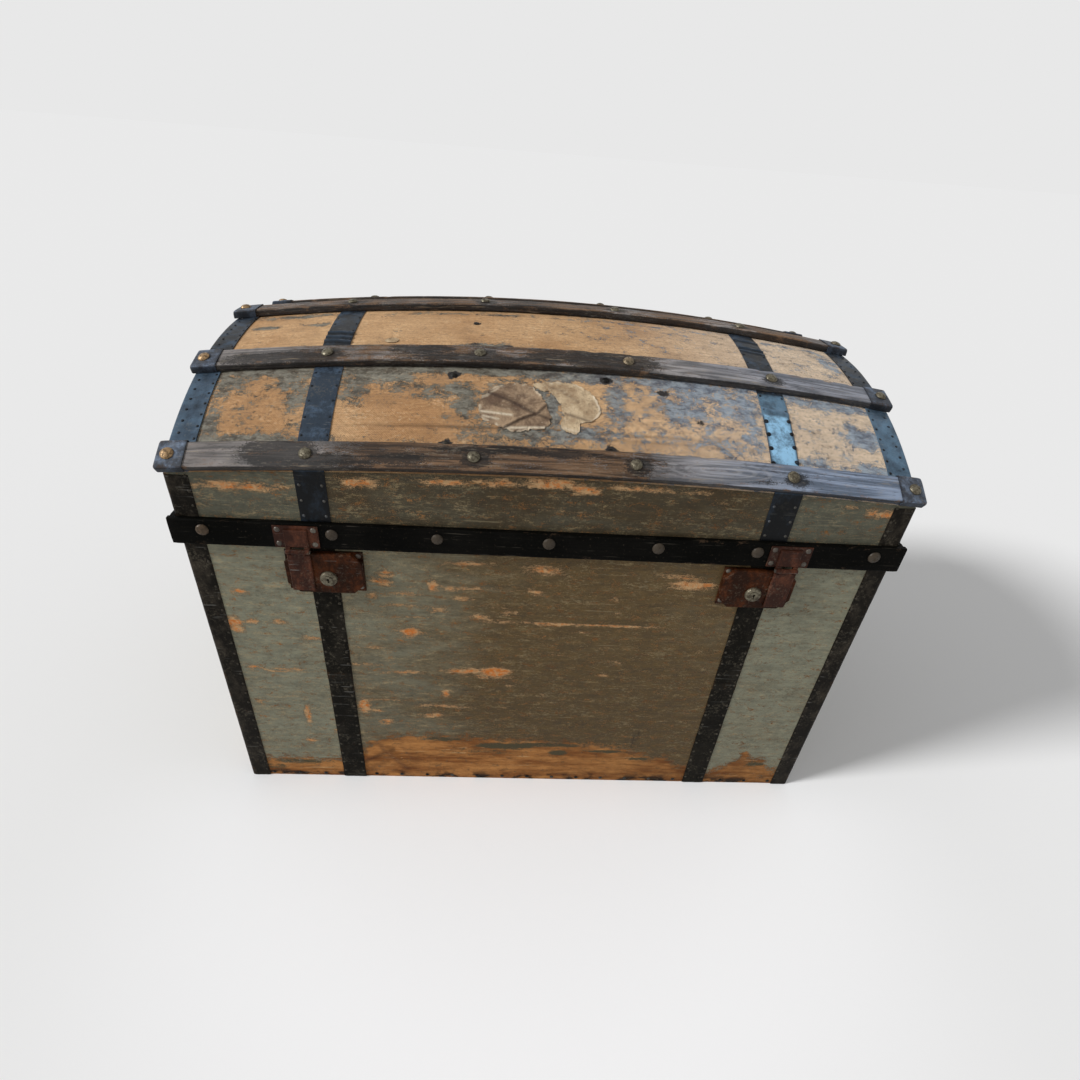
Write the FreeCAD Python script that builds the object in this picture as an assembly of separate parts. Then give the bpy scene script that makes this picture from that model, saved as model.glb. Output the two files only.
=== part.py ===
import FreeCAD, Part
import math
import os

# Dome top trunk, millimetres.
# +X runs along the trunk to the right, +Y to the back (the locks are on the -Y face), +Z up.
# The origin is the middle of the flat base.

# ---- overall sizes -------------------------------------------------------------------------
box_length = 782.0        # over the outer faces of the end boards
box_depth = 536.0         # over the outer faces of the front and back boards
rim_z = 396.0             # height of the plane where body and lid meet
wall_rise = 80.5          # lid wall at its corners, rim to the edge of the dome
end_rise = 86.0           # rise of the dome's arch at the two ends
edge_crown = 13.7         # how much higher the lid walls are in the middle than at the ends
top_crown = 30.0          # how much higher the dome's ridge is in the middle than at the ends

# ---- boards, canvas, paper and sheet iron ---------------------------------------------------
board_t = 10.0
bottom_t = 12.0
stave_t = 8.0             # boards of the dome
canvas_t = 1.0
paper_t = 0.8
iron_t = 0.8
glue = 0.2                # clearance between curved layers of one body
corner_r = 5.0            # rounding of the upright outer edges of the boards
corner_play = 0.5         # every wrap is bent this much tighter than what it covers

# ---- tongue around the body's rim -----------------------------------------------------------
tongue_t = 7.0
tongue_up = 12.0
tongue_down = 32.0
tongue_play = 2.0

# ---- corner irons and straps ----------------------------------------------------------------
corner_leg = 25.0
strap_share = 0.632       # straps stand at this share of the half length
strap_w = 31.0
edge_iron_w = 28.0
edge_iron_drop = 18.0

# ---- rim battens ----------------------------------------------------------------------------
batten_t = 6.5
batten_h = 31.0
batten_chamfer = 1.5

# ---- slats and their ends -------------------------------------------------------------------
slat_w = 30.0
slat_t = 8.0
edge_slat_inset = 11.1    # from the outer face of the long walls to the middle of the first slat
mid_slat_share = 0.514    # second slat, as a share of the half depth
slat_overhang = 4.4       # slat beyond the outer faces of the end boards
cap_t = 0.8
cap_len = 28.0

# ---- dome headed nails, rivets and tacks ----------------------------------------------------
nail_r = 6.75
nail_h = 3.6
nail_shank_r = 1.3
nail_shank = 6.0
slat_nail_share = 0.212   # inner slat nail, as a share of the half length
slat_nail_shift = 3.0     # middle slat nail, outwards from the strap's middle
slat_nail_inset = 6.0     # outer slat nail, from the end of the box
rim_nail_share = 0.307    # inner rim nail, as a share of the half length
rim_nail_shift = 16.0     # middle rim nail, inwards from the strap's middle
rim_nail_inset = 27.0     # outer rim nail, from the end of the box
side_nail_shares = (0.354, 0.84)
rim_nail_z = 19.0         # above the rim
rivet_r = 3.1
rivet_h = 1.7
rivet_shank_r = 1.2
rivet_shank = 7.0
tack_r = 2.6
tack_h = 0.9
tack_shank_r = 0.9
tack_shank = 14.0
tack_z = 6.0
tack_pitch = 37.0

# ---- locks (each case sits across a strap, with its hasp on the outer side) -------------------
case_in = 45.0            # case edges from the strap's middle, inwards and outwards
case_out = 39.0
case_low = 57.5           # case edges below the rim
case_high = 5.5
case_t = 8.0
case_flange = 1.5
case_cut = 12.0           # corners of the raised part, cut off where the screws are
case_soft = 0.9           # small bevel on the raised part
case_front_wall = 1.8
case_back_wall = 2.8
case_screw_inset = 5.2    # screws from the edges of the flange
key_in = 7.0              # keyhole from the strap's middle, inwards
key_low = 37.0            # keyhole below the rim
boss_r = 9.5
boss_h = 3.8
boss_side = 0.8           # upright part of the boss's side, under its rounding
barrel_r = 5.0
fit_play = 0.05           # radial clearance of every turning fit
barrel_stand = 0.7        # barrel beyond the boss
keyhole_r = 1.5           # round part of the keyhole, its middle above the barrel's
keyhole_up = 1.0
keyhole_slot_w = 1.4      # slot of the keyhole, and its lower end below the barrel's middle
keyhole_low = 3.2
keyhole_deep = 3.5
cam_r = 3.6               # circle of the barrel's cam pin
cam_pin_r = 1.2
cam_pin_len = 2.8
slide_play = 0.3
bolt_len = 30.0
bolt_h = 15.0
bolt_lift = 1.5           # middle of the bolt above the keyhole
bolt_nose_len = 7.2
bolt_nose_w = 4.4
bolt_nose_low = 1.0       # nose below the keyhole
bolt_rest_gap = 1.3       # from the staple to the nose of the drawn bolt

# ---- hasps ----------------------------------------------------------------------------------
hasp_out = 21.0           # hasp from the strap's middle, outwards
hasp_w = 24.5
hasp_plate_w = 47.0
hasp_plate_h = 26.5
hasp_plate_t = 1.2
hasp_plate_gap = 2.0      # above the rim
hasp_pad_h = 21.0
hasp_pad_t = 3.0
hasp_rivet_x = 18.7
hasp_rivet_z = 8.7
hasp_pin_low = 1.7        # pin below the rim
hasp_pin_r = 1.4
hasp_head_r = 2.1
hasp_head_t = 0.8
hasp_knuckle_r = 2.8
hasp_neck_w = 14.0
hasp_leaf_t = 3.0
hasp_leaf_low = 53.0      # lower end of the leaf, below the rim
hasp_shoulder = 3.5
leaf_play = 0.4
staple_w = 3.0
staple_low = 44.0         # staple's lower and upper ends, below the rim
staple_high = 32.0
staple_bar = 3.3
staple_eye = 3.3
staple_back = 1.3
notch_play = 0.8
notch_low = 2.0           # notch below the staple
notch_wall = 1.2          # wall of the case behind the notch
staple_reach = 1.6        # from the canvas to the staple's far side

# ---- hinges ---------------------------------------------------------------------------------
hinge_out = 63.0          # hinge from the strap's middle, outwards
hinge_w = 60.0
hinge_leaf_t = 1.5
hinge_leaf_h = 45.0
hinge_knuckle_r = 4.5
hinge_pin_r = 2.0
hinge_knuckles = 5
hinge_gap = 0.3
hinge_head_r = 3.2
hinge_head_t = 1.2
hinge_screw_x = 10.0      # screws from the leaf's sides, its far edge and the rim
hinge_screw_far = 9.0
hinge_screw_near = 18.0

# ---- drop handles on the ends ----------------------------------------------------------------
handle_share = 0.662      # pivot's height as a share of the rim's
handle_plate_w = 156.0
handle_plate_h = 34.0
handle_plate_t = 3.0
lug_y = 64.0
lug_w = 13.0
lug_r = 7.5
handle_out = 10.0         # pivot in front of the plate
handle_bar_r = 5.0
handle_trunnion_r = 3.5
handle_arm_y = 50.0
handle_drop = 46.0
handle_bend = 12.0
handle_plate_r = 8.0      # rounded corners of the plate
handle_collar = 1.5       # collar outside the lug, larger than the trunnion
plate_screw_inset = 7.0   # outer screws, from the plate's ends
plate_screw_y = 22.0      # inner screws, from the plate's middle and above it
plate_screw_up = 9.0

# ---- derived places --------------------------------------------------------------------------
half_len = box_length / 2
half_dep = box_depth / 2
skin_x = half_len + canvas_t          # outer faces of the canvas
skin_y = half_dep + canvas_t
in_x = half_len - board_t             # inner faces of the boards
in_y = half_dep - board_t
rim_x = skin_x + batten_t
rim_y = skin_y + batten_t
strap_x = round(strap_share * half_len, 1)
case_z0, case_z1 = rim_z - case_low, rim_z - case_high
key_z = rim_z - key_low
bolt_nose_z = key_z - bolt_nose_low
hasp_pin_z = rim_z - hasp_pin_low
hasp_leaf_end = rim_z - hasp_leaf_low
staple_z0, staple_z1 = rim_z - staple_low, rim_z - staple_high
handle_z = round(handle_share * rim_z)
case_x0, case_x1 = strap_x - case_in, strap_x + case_out
key_x = strap_x - key_in
hasp_x = strap_x + hasp_out
hinge_x = strap_x + hinge_out
slat_end = half_len + slat_overhang
slat_y = tuple(k * y for k, y in ((-1, half_dep - edge_slat_inset), (-1, mid_slat_share * half_dep), (0, 0),
                                  (1, mid_slat_share * half_dep), (1, half_dep - edge_slat_inset)))
slat_nail_x = (slat_nail_share * half_len, strap_x + slat_nail_shift, half_len - slat_nail_inset)
rim_nail_x = (0.0, rim_nail_share * half_len, strap_x - rim_nail_shift, half_len - rim_nail_inset)
rim_nail_y = tuple(share * half_dep for share in side_nail_shares)
dome_half = rim_x + 1.5               # the crown is measured over this half length
bolt_z = key_z + bolt_lift
lid_iron_top = rim_z + wall_rise - 2.0
hinge_axis_y = skin_y + hinge_knuckle_r
hinge_axis_z = rim_z
hasp_pin_y = -(rim_y + hasp_plate_t + hasp_knuckle_r + 0.1)
hasp_leaf_back = -(skin_y + case_t + leaf_play)
stave_out = -canvas_t - glue          # offsets from the canvas's outer surface
stave_in = stave_out - stave_t
slat_low = iron_t + 0.3
slat_high = slat_low + slat_t

X = FreeCAD.Vector(1, 0, 0)
Y = FreeCAD.Vector(0, 1, 0)
Z = FreeCAD.Vector(0, 0, 1)


def vec(x, y, z):
    return FreeCAD.Vector(x, y, z)


def block(x0, x1, y0, y1, z0, z1):
    """A box between two corners given as ranges."""
    return Part.makeBox(x1 - x0, y1 - y0, z1 - z0, vec(x0, y0, z0))


def rod(radius, start, end):
    """A round bar between two points."""
    along = end - start
    return Part.makeCylinder(radius, along.Length, start, along)


def mirrored(shape):
    """The same piece on the other side of the trunk's middle."""
    return shape.mirror(vec(0, 0, 0), X)


def fused(shapes):
    whole = shapes[0]
    for shape in shapes[1:]:
        whole = whole.fuse(shape)
    return whole.removeSplitter()


def rounded_prism(half_x, half_y, z0, z1, radius):
    """An upright block centred on the origin with rounded upright edges."""
    solid = block(-half_x, half_x, -half_y, half_y, z0, z1)
    upright = [e for e in solid.Edges if abs(e.tangentAt(e.FirstParameter).z) > 0.9]
    return solid.makeFillet(radius, upright)


# ---- the dome's surface ----------------------------------------------------------------------
def crown(x):
    """1 at mid length, 0 at the far ends of the lid."""
    return 1.0 - (x / dome_half) ** 2


def dome_edge_z(x):
    """Height of the dome's front and back edges."""
    return rim_z + wall_rise + edge_crown * crown(x)


def dome_radius(x):
    """Radius of the arch: half span and rise give it."""
    rise = end_rise + (top_crown - edge_crown) * crown(x)
    return (skin_y ** 2 + rise ** 2) / (2.0 * rise)


def dome_centre_z(x):
    rise = end_rise + (top_crown - edge_crown) * crown(x)
    return dome_edge_z(x) + rise - dome_radius(x)


def dome_at(x, y, offset):
    """The point at depth y on the surface that lies offset above the canvas."""
    r = dome_radius(x) + offset
    return vec(x, y, dome_centre_z(x) + math.sqrt(r * r - y * y))


def dome_polar(x, angle, offset):
    """The point at an angle from the upright through the arch's centre."""
    r = dome_radius(x) + offset
    return vec(x, r * math.sin(angle), dome_centre_z(x) + r * math.cos(angle))


def arc(p0, p1, p2):
    return Part.Arc(p0, p1, p2).toShape()


def line(p0, p1):
    return Part.makeLine(p0, p1)


def spread(x0, x1, count):
    """Evenly spaced places along the trunk."""
    return [x0 + (x1 - x0) * k / (count - 1) for k in range(count)]


def loft(wires):
    solid = Part.makeLoft(wires, True, False)
    if solid.Volume < 0:
        solid.reverse()
    return solid


def dome_layer(places, y0, y1, low, high):
    """A curved board or sheet between two offsets, cut upright at y0 and y1."""
    wires = []
    for x in places:
        ym = (y0 + y1) / 2
        a, b, c = dome_at(x, y0, high), dome_at(x, ym, high), dome_at(x, y1, high)
        d, e, f = dome_at(x, y1, low), dome_at(x, ym, low), dome_at(x, y0, low)
        wires.append(Part.Wire([arc(a, b, c), line(c, d), arc(d, e, f), line(f, a)]))
    return loft(wires)


def dome_sector(places, y_mid, half_w, low, high):
    """A strip along the dome, square to its surface, centred at depth y_mid."""
    wires = []
    for x in places:
        mid = math.asin(y_mid / dome_radius(x))
        turn = half_w / dome_radius(x)
        top = [dome_polar(x, mid + k * turn, high) for k in (-1, 0, 1)]
        under = [dome_polar(x, mid + k * turn, low) for k in (1, 0, -1)]
        wires.append(Part.Wire([arc(*top), line(top[2], under[0]), arc(*under), line(under[2], top[0])]))
    return loft(wires)


def under_dome(offset):
    """Everything between the rim plane and a surface offset from the canvas."""
    wires = []
    wide = skin_y + 3.0
    for x in spread(-dome_half, dome_half, 5):
        a, b, c = (dome_at(x, y, offset) for y in (-wide, 0.0, wide))
        d, e = vec(x, wide, rim_z), vec(x, -wide, rim_z)
        wires.append(Part.Wire([arc(a, b, c), line(c, d), line(d, e), line(e, a)]))
    return loft(wires)


# ---- body: boards, canvas, lining ------------------------------------------------------------
def strap_grooves():
    """The shallow grooves under the base that let the straps in flush."""
    half = strap_w / 2 + glue
    cuts = [block(s * strap_x - half, s * strap_x + half, -skin_y - 1, skin_y + 1, -1, iron_t)
            for s in (-1, 1)]
    return cuts[0].fuse(cuts[1])


def body_boards():
    """Front and back boards run full length; ends and bottom fit between them."""
    outline = rounded_prism(half_len, half_dep, 0, rim_z, corner_r)
    grooves = strap_grooves()
    front = outline.common(block(-half_len, half_len, -half_dep, -in_y, 0, rim_z)).cut(grooves)
    back = outline.common(block(-half_len, half_len, in_y, half_dep, 0, rim_z)).cut(grooves)
    right = block(in_x, half_len, -in_y, in_y, 0, rim_z)
    bottom = block(-in_x, in_x, -in_y, in_y, 0, bottom_t).cut(grooves)
    return {"body_front_board": front, "body_back_board": back, "body_right_board": right,
            "body_left_board": mirrored(right), "bottom_board": bottom}


def canvas_sleeve(z0, z1):
    """The cloth glued round the four walls."""
    outer = rounded_prism(skin_x, skin_y, z0, z1, corner_r - corner_play + canvas_t)
    inner = rounded_prism(half_len, half_dep, z0, z1, corner_r - corner_play)
    return outer.cut(inner)


def body_lining():
    """Paper on the inside: floor and four walls up to the tongue."""
    top = rim_z - tongue_down
    outer = block(-in_x, in_x, -in_y, in_y, bottom_t, top)
    inner = block(-in_x + paper_t, in_x - paper_t, -in_y + paper_t, in_y - paper_t, bottom_t + paper_t, top)
    return outer.cut(inner)


def rim_tongue():
    """Front strip and two end strips that stand up inside the closed lid."""
    low, high = rim_z - tongue_down, rim_z + tongue_up
    front = block(-in_x, in_x, -in_y, -in_y + tongue_t, low, high)
    front = front.cut(block(-in_x, in_x, -in_y, -in_y + tongue_play, rim_z, high))
    for side in (-1, 1):
        edge = side * in_x
        front = front.cut(block(min(edge, edge - side * tongue_play), max(edge, edge - side * tongue_play),
                                -in_y, -in_y + tongue_t, rim_z, high))
    right = block(in_x - tongue_t, in_x, -in_y + tongue_t, in_y, low, high)
    right = right.cut(block(in_x - tongue_play, in_x, -in_y, in_y, rim_z, high))
    right = right.cut(block(in_x - tongue_t, in_x, in_y - tongue_play, in_y, rim_z, high))
    return Part.makeCompound([front, right, mirrored(right)])


# ---- sheet iron ------------------------------------------------------------------------------
def corner_irons(z0, z1):
    """Four angle irons wrapped round the upright corners of a wall ring."""
    inner_r = corner_r - 2 * corner_play + canvas_t
    outer = rounded_prism(skin_x + iron_t, skin_y + iron_t, z0, z1, inner_r + iron_t)
    inner = rounded_prism(skin_x, skin_y, z0, z1, inner_r)
    ring = outer.cut(inner)
    irons = []
    for sx in (-1, 1):
        for sy in (-1, 1):
            x_far, y_far = sx * (skin_x + 2), sy * (skin_y + 2)
            x_near, y_near = sx * (skin_x - corner_leg), sy * (skin_y - corner_leg)
            corner = block(min(x_far, x_near), max(x_far, x_near), min(y_far, y_near), max(y_far, y_near), z0,
                           z1)
            irons.append(ring.common(corner))
    return Part.makeCompound([iron.Solids[0] for iron in irons])


def body_strap():
    """Right strap: down the front, under the base, up the back."""
    half = strap_w / 2
    outer = block(strap_x - half, strap_x + half, -skin_y - iron_t, skin_y + iron_t, 0, rim_z)
    inner = block(strap_x - half, strap_x + half, -skin_y, skin_y, iron_t, rim_z)
    return outer.cut(inner)


def lid_strap():
    """Right strap of the lid: up the front wall, over the dome, down the back wall."""
    low_z = rim_z + batten_h + glue
    y_in, y_out = skin_y + glue / 2, skin_y + glue / 2 + iron_t
    off_in, off_out = glue / 2, glue / 2 + iron_t
    wires = []
    for x in spread(strap_x - strap_w / 2, strap_x + strap_w / 2, 3):
        a, b = vec(x, -y_out, low_z), dome_at(x, -y_out, off_out)
        c, d, e = dome_at(x, 0, off_out), dome_at(x, y_out, off_out), vec(x, y_out, low_z)
        f, g = vec(x, y_in, low_z), dome_at(x, y_in, off_in)
        h, i, j = dome_at(x, 0, off_in), dome_at(x, -y_in, off_in), vec(x, -y_in, low_z)
        wires.append(Part.Wire([line(a, b), arc(b, c, d), line(d, e), line(e, f), line(f, g),
                                arc(g, h, i), line(i, j), line(j, a)]))
    return loft(wires)


def dome_edge_iron():
    """Right end iron: one leg on the dome, the other turned down over the end wall."""
    x_end = skin_x + glue / 2 + iron_t
    top = dome_layer([x_end - edge_iron_w, x_end - edge_iron_w / 2, x_end], -skin_y, skin_y,
                     glue / 2, glue / 2 + iron_t)
    reach = skin_y - corner_leg - glue
    down = dome_layer([x_end - iron_t, x_end], -reach, reach, -edge_iron_drop, glue / 2 + iron_t / 2)
    return top.fuse(down)


# ---- lid: boards, canvas, lining -------------------------------------------------------------
def lid_walls():
    """Two long walls and two arched ends, bevelled to the underside of the staves."""
    room = under_dome(stave_in - glue)
    high = rim_z + wall_rise + end_rise + top_crown
    outline = rounded_prism(half_len, half_dep, rim_z, high, corner_r)
    front = outline.common(block(-half_len, half_len, -half_dep, -in_y, rim_z, high)).common(room)
    back = outline.common(block(-half_len, half_len, in_y, half_dep, rim_z, high)).common(room)
    right = block(in_x, half_len, -in_y, in_y, rim_z, high).common(room)
    return {"lid_front_board": front, "lid_back_board": back, "lid_right_board": right,
            "lid_left_board": mirrored(right)}


def dome_boards():
    """Four staves; each joint is hidden under a slat. Made oversize, then trimmed to the walls' outline."""
    spare = 3.0
    joints = (-half_dep - spare, slat_y[1], slat_y[2], slat_y[3], half_dep + spare)
    places = spread(-half_len - spare, half_len + spare, 5)
    high = rim_z + wall_rise + end_rise + top_crown
    outline = rounded_prism(half_len, half_dep, rim_z, high, corner_r)
    return {"dome_board_%d" % (k + 1): dome_layer(places, joints[k], joints[k + 1], stave_in,
                                                  stave_out).common(outline)
            for k in range(4)}


def dome_canvas():
    return dome_layer(spread(-skin_x, skin_x, 5), -skin_y, skin_y, -canvas_t, 0.0)


def lid_wall_canvas():
    high = rim_z + wall_rise + end_rise + top_crown
    return canvas_sleeve(rim_z, high).common(under_dome(-canvas_t - glue))


def lid_lining():
    """Paper inside the lid, one sheet over walls and dome."""
    top = rim_z + wall_rise + end_rise + top_crown
    low = rim_z + tongue_up + tongue_play
    outer = block(-in_x, in_x, -in_y, in_y, low, top).common(under_dome(stave_in - glue))
    inner = block(-in_x + paper_t, in_x - paper_t, -in_y + paper_t, in_y - paper_t, low - 1, top)
    return outer.cut(inner.common(under_dome(stave_in - glue - paper_t)))


# ---- rim battens, slats, caps ----------------------------------------------------------------
def batten(x0, x1, y0, y1, face):
    """A painted wood strip round the lid's rim with its outer long edges eased."""
    strip = block(x0, x1, y0, y1, rim_z, rim_z + batten_h)
    eased = []
    for edge in strip.Edges:
        a, b = (v.Point for v in edge.Vertexes)
        outside = all(abs(p.dot(face) - max(v.Point.dot(face) for v in strip.Vertexes)) < 1e-6
                      for p in (a, b))
        if outside and abs(a.z - b.z) < 1e-6:
            eased.append(edge)
    return strip.makeChamfer(batten_chamfer, eased)


def rim_battens():
    hinge_half = hinge_w / 2 + hinge_head_t + 1.0
    front = batten(-rim_x, rim_x, -rim_y, -skin_y, -Y)
    right = batten(skin_x, rim_x, -skin_y, skin_y, X)
    outer = batten(hinge_x + hinge_half, rim_x, skin_y, rim_y, Y)
    middle = batten(-hinge_x + hinge_half, hinge_x - hinge_half, skin_y, rim_y, Y)
    return {"rim_batten_front": front, "rim_batten_right": right, "rim_batten_left": mirrored(right),
            "rim_battens_back": Part.makeCompound([mirrored(outer), middle, outer])}


def slats():
    places = spread(-slat_end, slat_end, 5)
    return {"slat_%d" % (k + 1): dome_sector(places, y, slat_w / 2, slat_low, slat_high)
            for k, y in enumerate(slat_y)}


def slat_cap(y):
    """Right end cap: a folded iron shoe over the slat's end, open below."""
    x1 = slat_end + glue + cap_t
    x0 = x1 - cap_len
    inner_places = [x0 - 2, (x0 + slat_end) / 2, slat_end + glue]
    outer = dome_sector([x0, (x0 + x1) / 2, x1], y, slat_w / 2 + glue + cap_t, slat_low,
                        slat_high + glue + cap_t)
    return outer.cut(dome_sector(inner_places, y, slat_w / 2 + glue, slat_low - 2, slat_high + glue))


def slat_caps():
    right = [slat_cap(y) for y in slat_y]
    return Part.makeCompound([c.Solids[0] for c in right] + [mirrored(c.Solids[0]) for c in right])


# ---- nails, rivets, tacks --------------------------------------------------------------------
def round_head(radius, height, shank_r, shank, point, normal):
    """A low domed head with its shank, seated at a point and standing along a normal."""
    bulge = (radius ** 2 + height ** 2) / (2 * height)
    half = math.asin(radius / bulge) / 2
    mid = vec(bulge * math.sin(half), 0, height - bulge + bulge * math.cos(half))
    tip, edge = vec(0, 0, height), vec(radius, 0, 0)
    inner, low, end = vec(shank_r, 0, 0), vec(shank_r, 0, -shank), vec(0, 0, -shank)
    profile = Part.Wire([arc(tip, mid, edge), line(edge, inner), line(inner, low), line(low, end),
                         line(end, tip)])
    solid = Part.Face(profile).revolve(vec(0, 0, 0), Z, 360)
    solid.Placement = FreeCAD.Placement(point, FreeCAD.Rotation(Z, normal))
    return solid


def nail(point, normal):
    return round_head(nail_r, nail_h, nail_shank_r, nail_shank, point, normal)


def rivet(point, normal):
    return round_head(rivet_r, rivet_h, rivet_shank_r, rivet_shank, point, normal)


def tack(point, normal):
    return round_head(tack_r, tack_h, tack_shank_r, tack_shank, point, normal)


def dome_normal(x, y):
    """Outward direction of the surface, from its slopes along and across the trunk."""
    step = 0.5
    along = dome_at(x + step, y, 0) - dome_at(x - step, y, 0)
    across = dome_at(x, y + step, 0) - dome_at(x, y - step, 0)
    out = along.cross(across)
    return out.normalize()


def lid_nails():
    """Dome headed nails through the slats and the rim battens."""
    nails = []
    for y in slat_y:
        for x in slat_nail_x:
            over_cap = glue + cap_t if x > slat_end - cap_len else 0.0
            for side in (-1, 1):
                angle = math.asin(y / dome_radius(x))
                point = dome_polar(side * x, angle, slat_high + over_cap + 0.1)
                nails.append(nail(point, dome_normal(side * x, y)))
    z = rim_z + rim_nail_z
    for x in rim_nail_x:
        for side in ((-1, 1) if x else (1,)):
            nails.append(nail(vec(side * x, -rim_y, z), -Y))
            nails.append(nail(vec(side * x, rim_y, z), Y))
    for y in rim_nail_y:
        for side in (-1, 1):
            nails.append(nail(vec(rim_x, side * y, z), X))
            nails.append(nail(vec(-rim_x, side * y, z), -X))
    return Part.makeCompound(nails)


def spaced(limit, pitch):
    """Places from -limit to limit, as near to the pitch as divides evenly."""
    count = int(round(2 * limit / pitch)) + 1
    return spread(-limit, limit, count)


def bottom_tacks():
    """The row of tacks that fixes the walls to the bottom board, clear of irons and straps."""
    tacks = []
    clear = strap_w / 2 + tack_r + 1.0
    for x in spaced(skin_x - corner_leg - 6.0, tack_pitch):
        if abs(abs(x) - strap_x) > clear:
            tacks.append(tack(vec(x, -skin_y, tack_z), -Y))
            tacks.append(tack(vec(x, skin_y, tack_z), Y))
    for y in spaced(skin_y - corner_leg - 6.0, tack_pitch):
        tacks.append(tack(vec(skin_x, y, tack_z), X))
        tacks.append(tack(vec(-skin_x, y, tack_z), -X))
    return Part.makeCompound(tacks)


# ---- lock ------------------------------------------------------------------------------------
def lock_case():
    """Right lock: screw flange, raised box with cut corners, bolt room, staple notch."""
    front, back = -skin_y - case_t, -skin_y
    flange = block(case_x0, case_x1, back - case_flange, back, case_z0, case_z1)
    c = case_cut
    outline = [(case_x0 + c, case_z0), (case_x1 - c, case_z0), (case_x1, case_z0 + c), (case_x1, case_z1 - c),
               (case_x1 - c, case_z1), (case_x0 + c, case_z1), (case_x0, case_z1 - c), (case_x0, case_z0 + c)]
    points = [vec(x, back, z) for x, z in outline]
    raised = Part.Face(Part.makePolygon(points + points[:1])).extrude(-Y * case_t)
    rim = [e for e in raised.Edges if all(abs(v.Y - front) < 1e-6 for v in e.Vertexes)]
    case = flange.fuse(raised.makeChamfer(case_soft, rim)).removeSplitter()
    strap_relief = block(strap_x - strap_w / 2 - glue, strap_x + strap_w / 2 + glue, back - iron_t, back + 1,
                         case_z0 - 1, case_z1 + 1)
    y0, y1 = front + case_front_wall, back - case_back_wall
    bolt_x0 = bolt_rest_x() - bolt_len
    room = block(bolt_x0 - slide_play, bolt_rest_x() + cam_travel() + slide_play, y0, y1,
                 bolt_z - bolt_h / 2 - slide_play, bolt_z + bolt_h / 2 + slide_play)
    nose_room = block(bolt_rest_x(), nose_rest_x() + cam_travel() + 1.0, y0, y1,
                      bolt_nose_z - bolt_nose_w / 2 - slide_play, bolt_nose_z + bolt_nose_w / 2 + slide_play)
    half = staple_w / 2 + notch_play
    notch = block(hasp_x - half, hasp_x + half, front - 1, back - notch_wall, staple_z0 - notch_low,
                  case_z1 + 1)
    hole = rod(barrel_r + slide_play, vec(key_x, front - 1, key_z), vec(key_x, y0 + 0.5, key_z))
    for cut in (strap_relief, room, nose_room, notch, hole):
        case = case.cut(cut)
    return case


def nose_rest_x():
    """Tip of the drawn bolt, just short of the staple."""
    return hasp_x - staple_w / 2 - bolt_rest_gap


def bolt_rest_x():
    """Shoulder of the drawn bolt, behind its nose."""
    return nose_rest_x() - bolt_nose_len


def cam_travel():
    """Sideways way of the cam pin over a quarter turn."""
    return 2 * cam_r * math.sin(math.radians(45))


def lock_boss():
    """Right keyhole boss: a domed brass ring on the case."""
    face = -skin_y - case_t
    base = rod(boss_r, vec(key_x, face, key_z), vec(key_x, face - boss_h, key_z))
    top = face - boss_h
    rim = [e for e in base.Edges if abs(e.BoundBox.YMin - top) < 1e-6 and e.BoundBox.YLength < 1e-6]
    ring = base.makeFillet(boss_h - boss_side, rim)
    return ring.cut(rod(barrel_r + fit_play, vec(key_x, face + 1, key_z),
                        vec(key_x, face - boss_h - 1, key_z)))


def lock_barrel():
    """Right barrel: turning plug with the keyhole and a cam pin that drives the bolt."""
    face = -skin_y - case_t
    inner, outer = face + case_front_wall, face - boss_h - barrel_stand
    plug = rod(barrel_r, vec(key_x, outer, key_z), vec(key_x, inner, key_z))
    deep, eye_z = outer + keyhole_deep, key_z + keyhole_up
    keyhole = rod(keyhole_r, vec(key_x, outer - 1, eye_z), vec(key_x, deep, eye_z))
    slot = block(key_x - keyhole_slot_w / 2, key_x + keyhole_slot_w / 2, outer - 1, deep, key_z - keyhole_low,
                 eye_z)
    keyhole = keyhole.fuse(slot)
    side = cam_travel() / 2
    pin = rod(cam_pin_r, vec(key_x - side, inner - 0.5, key_z + side),
              vec(key_x - side, inner + cam_pin_len, key_z + side))
    return plug.cut(keyhole).fuse(pin).removeSplitter()


def lock_bolt():
    """Right bolt: flat slide with a nose for the staple and an upright slot for the cam pin."""
    face = -skin_y - case_t
    y0, y1 = face + case_front_wall + slide_play, -skin_y - case_back_wall - slide_play
    x1 = bolt_rest_x()
    slide = block(x1 - bolt_len, x1, y0, y1, bolt_z - bolt_h / 2, bolt_z + bolt_h / 2)
    nose = block(x1 - 1, nose_rest_x(), y0, y1, bolt_nose_z - bolt_nose_w / 2, bolt_nose_z + bolt_nose_w / 2)
    side = cam_travel() / 2
    slot_half = cam_pin_r + slide_play
    slot = block(key_x - side - slot_half, key_x - side + slot_half, y0 - 1, y1 + 1,
                 key_z + side - slot_half - 0.3, key_z + cam_r + slot_half + 0.3)
    return slide.fuse(nose).cut(slot).removeSplitter()


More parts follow.
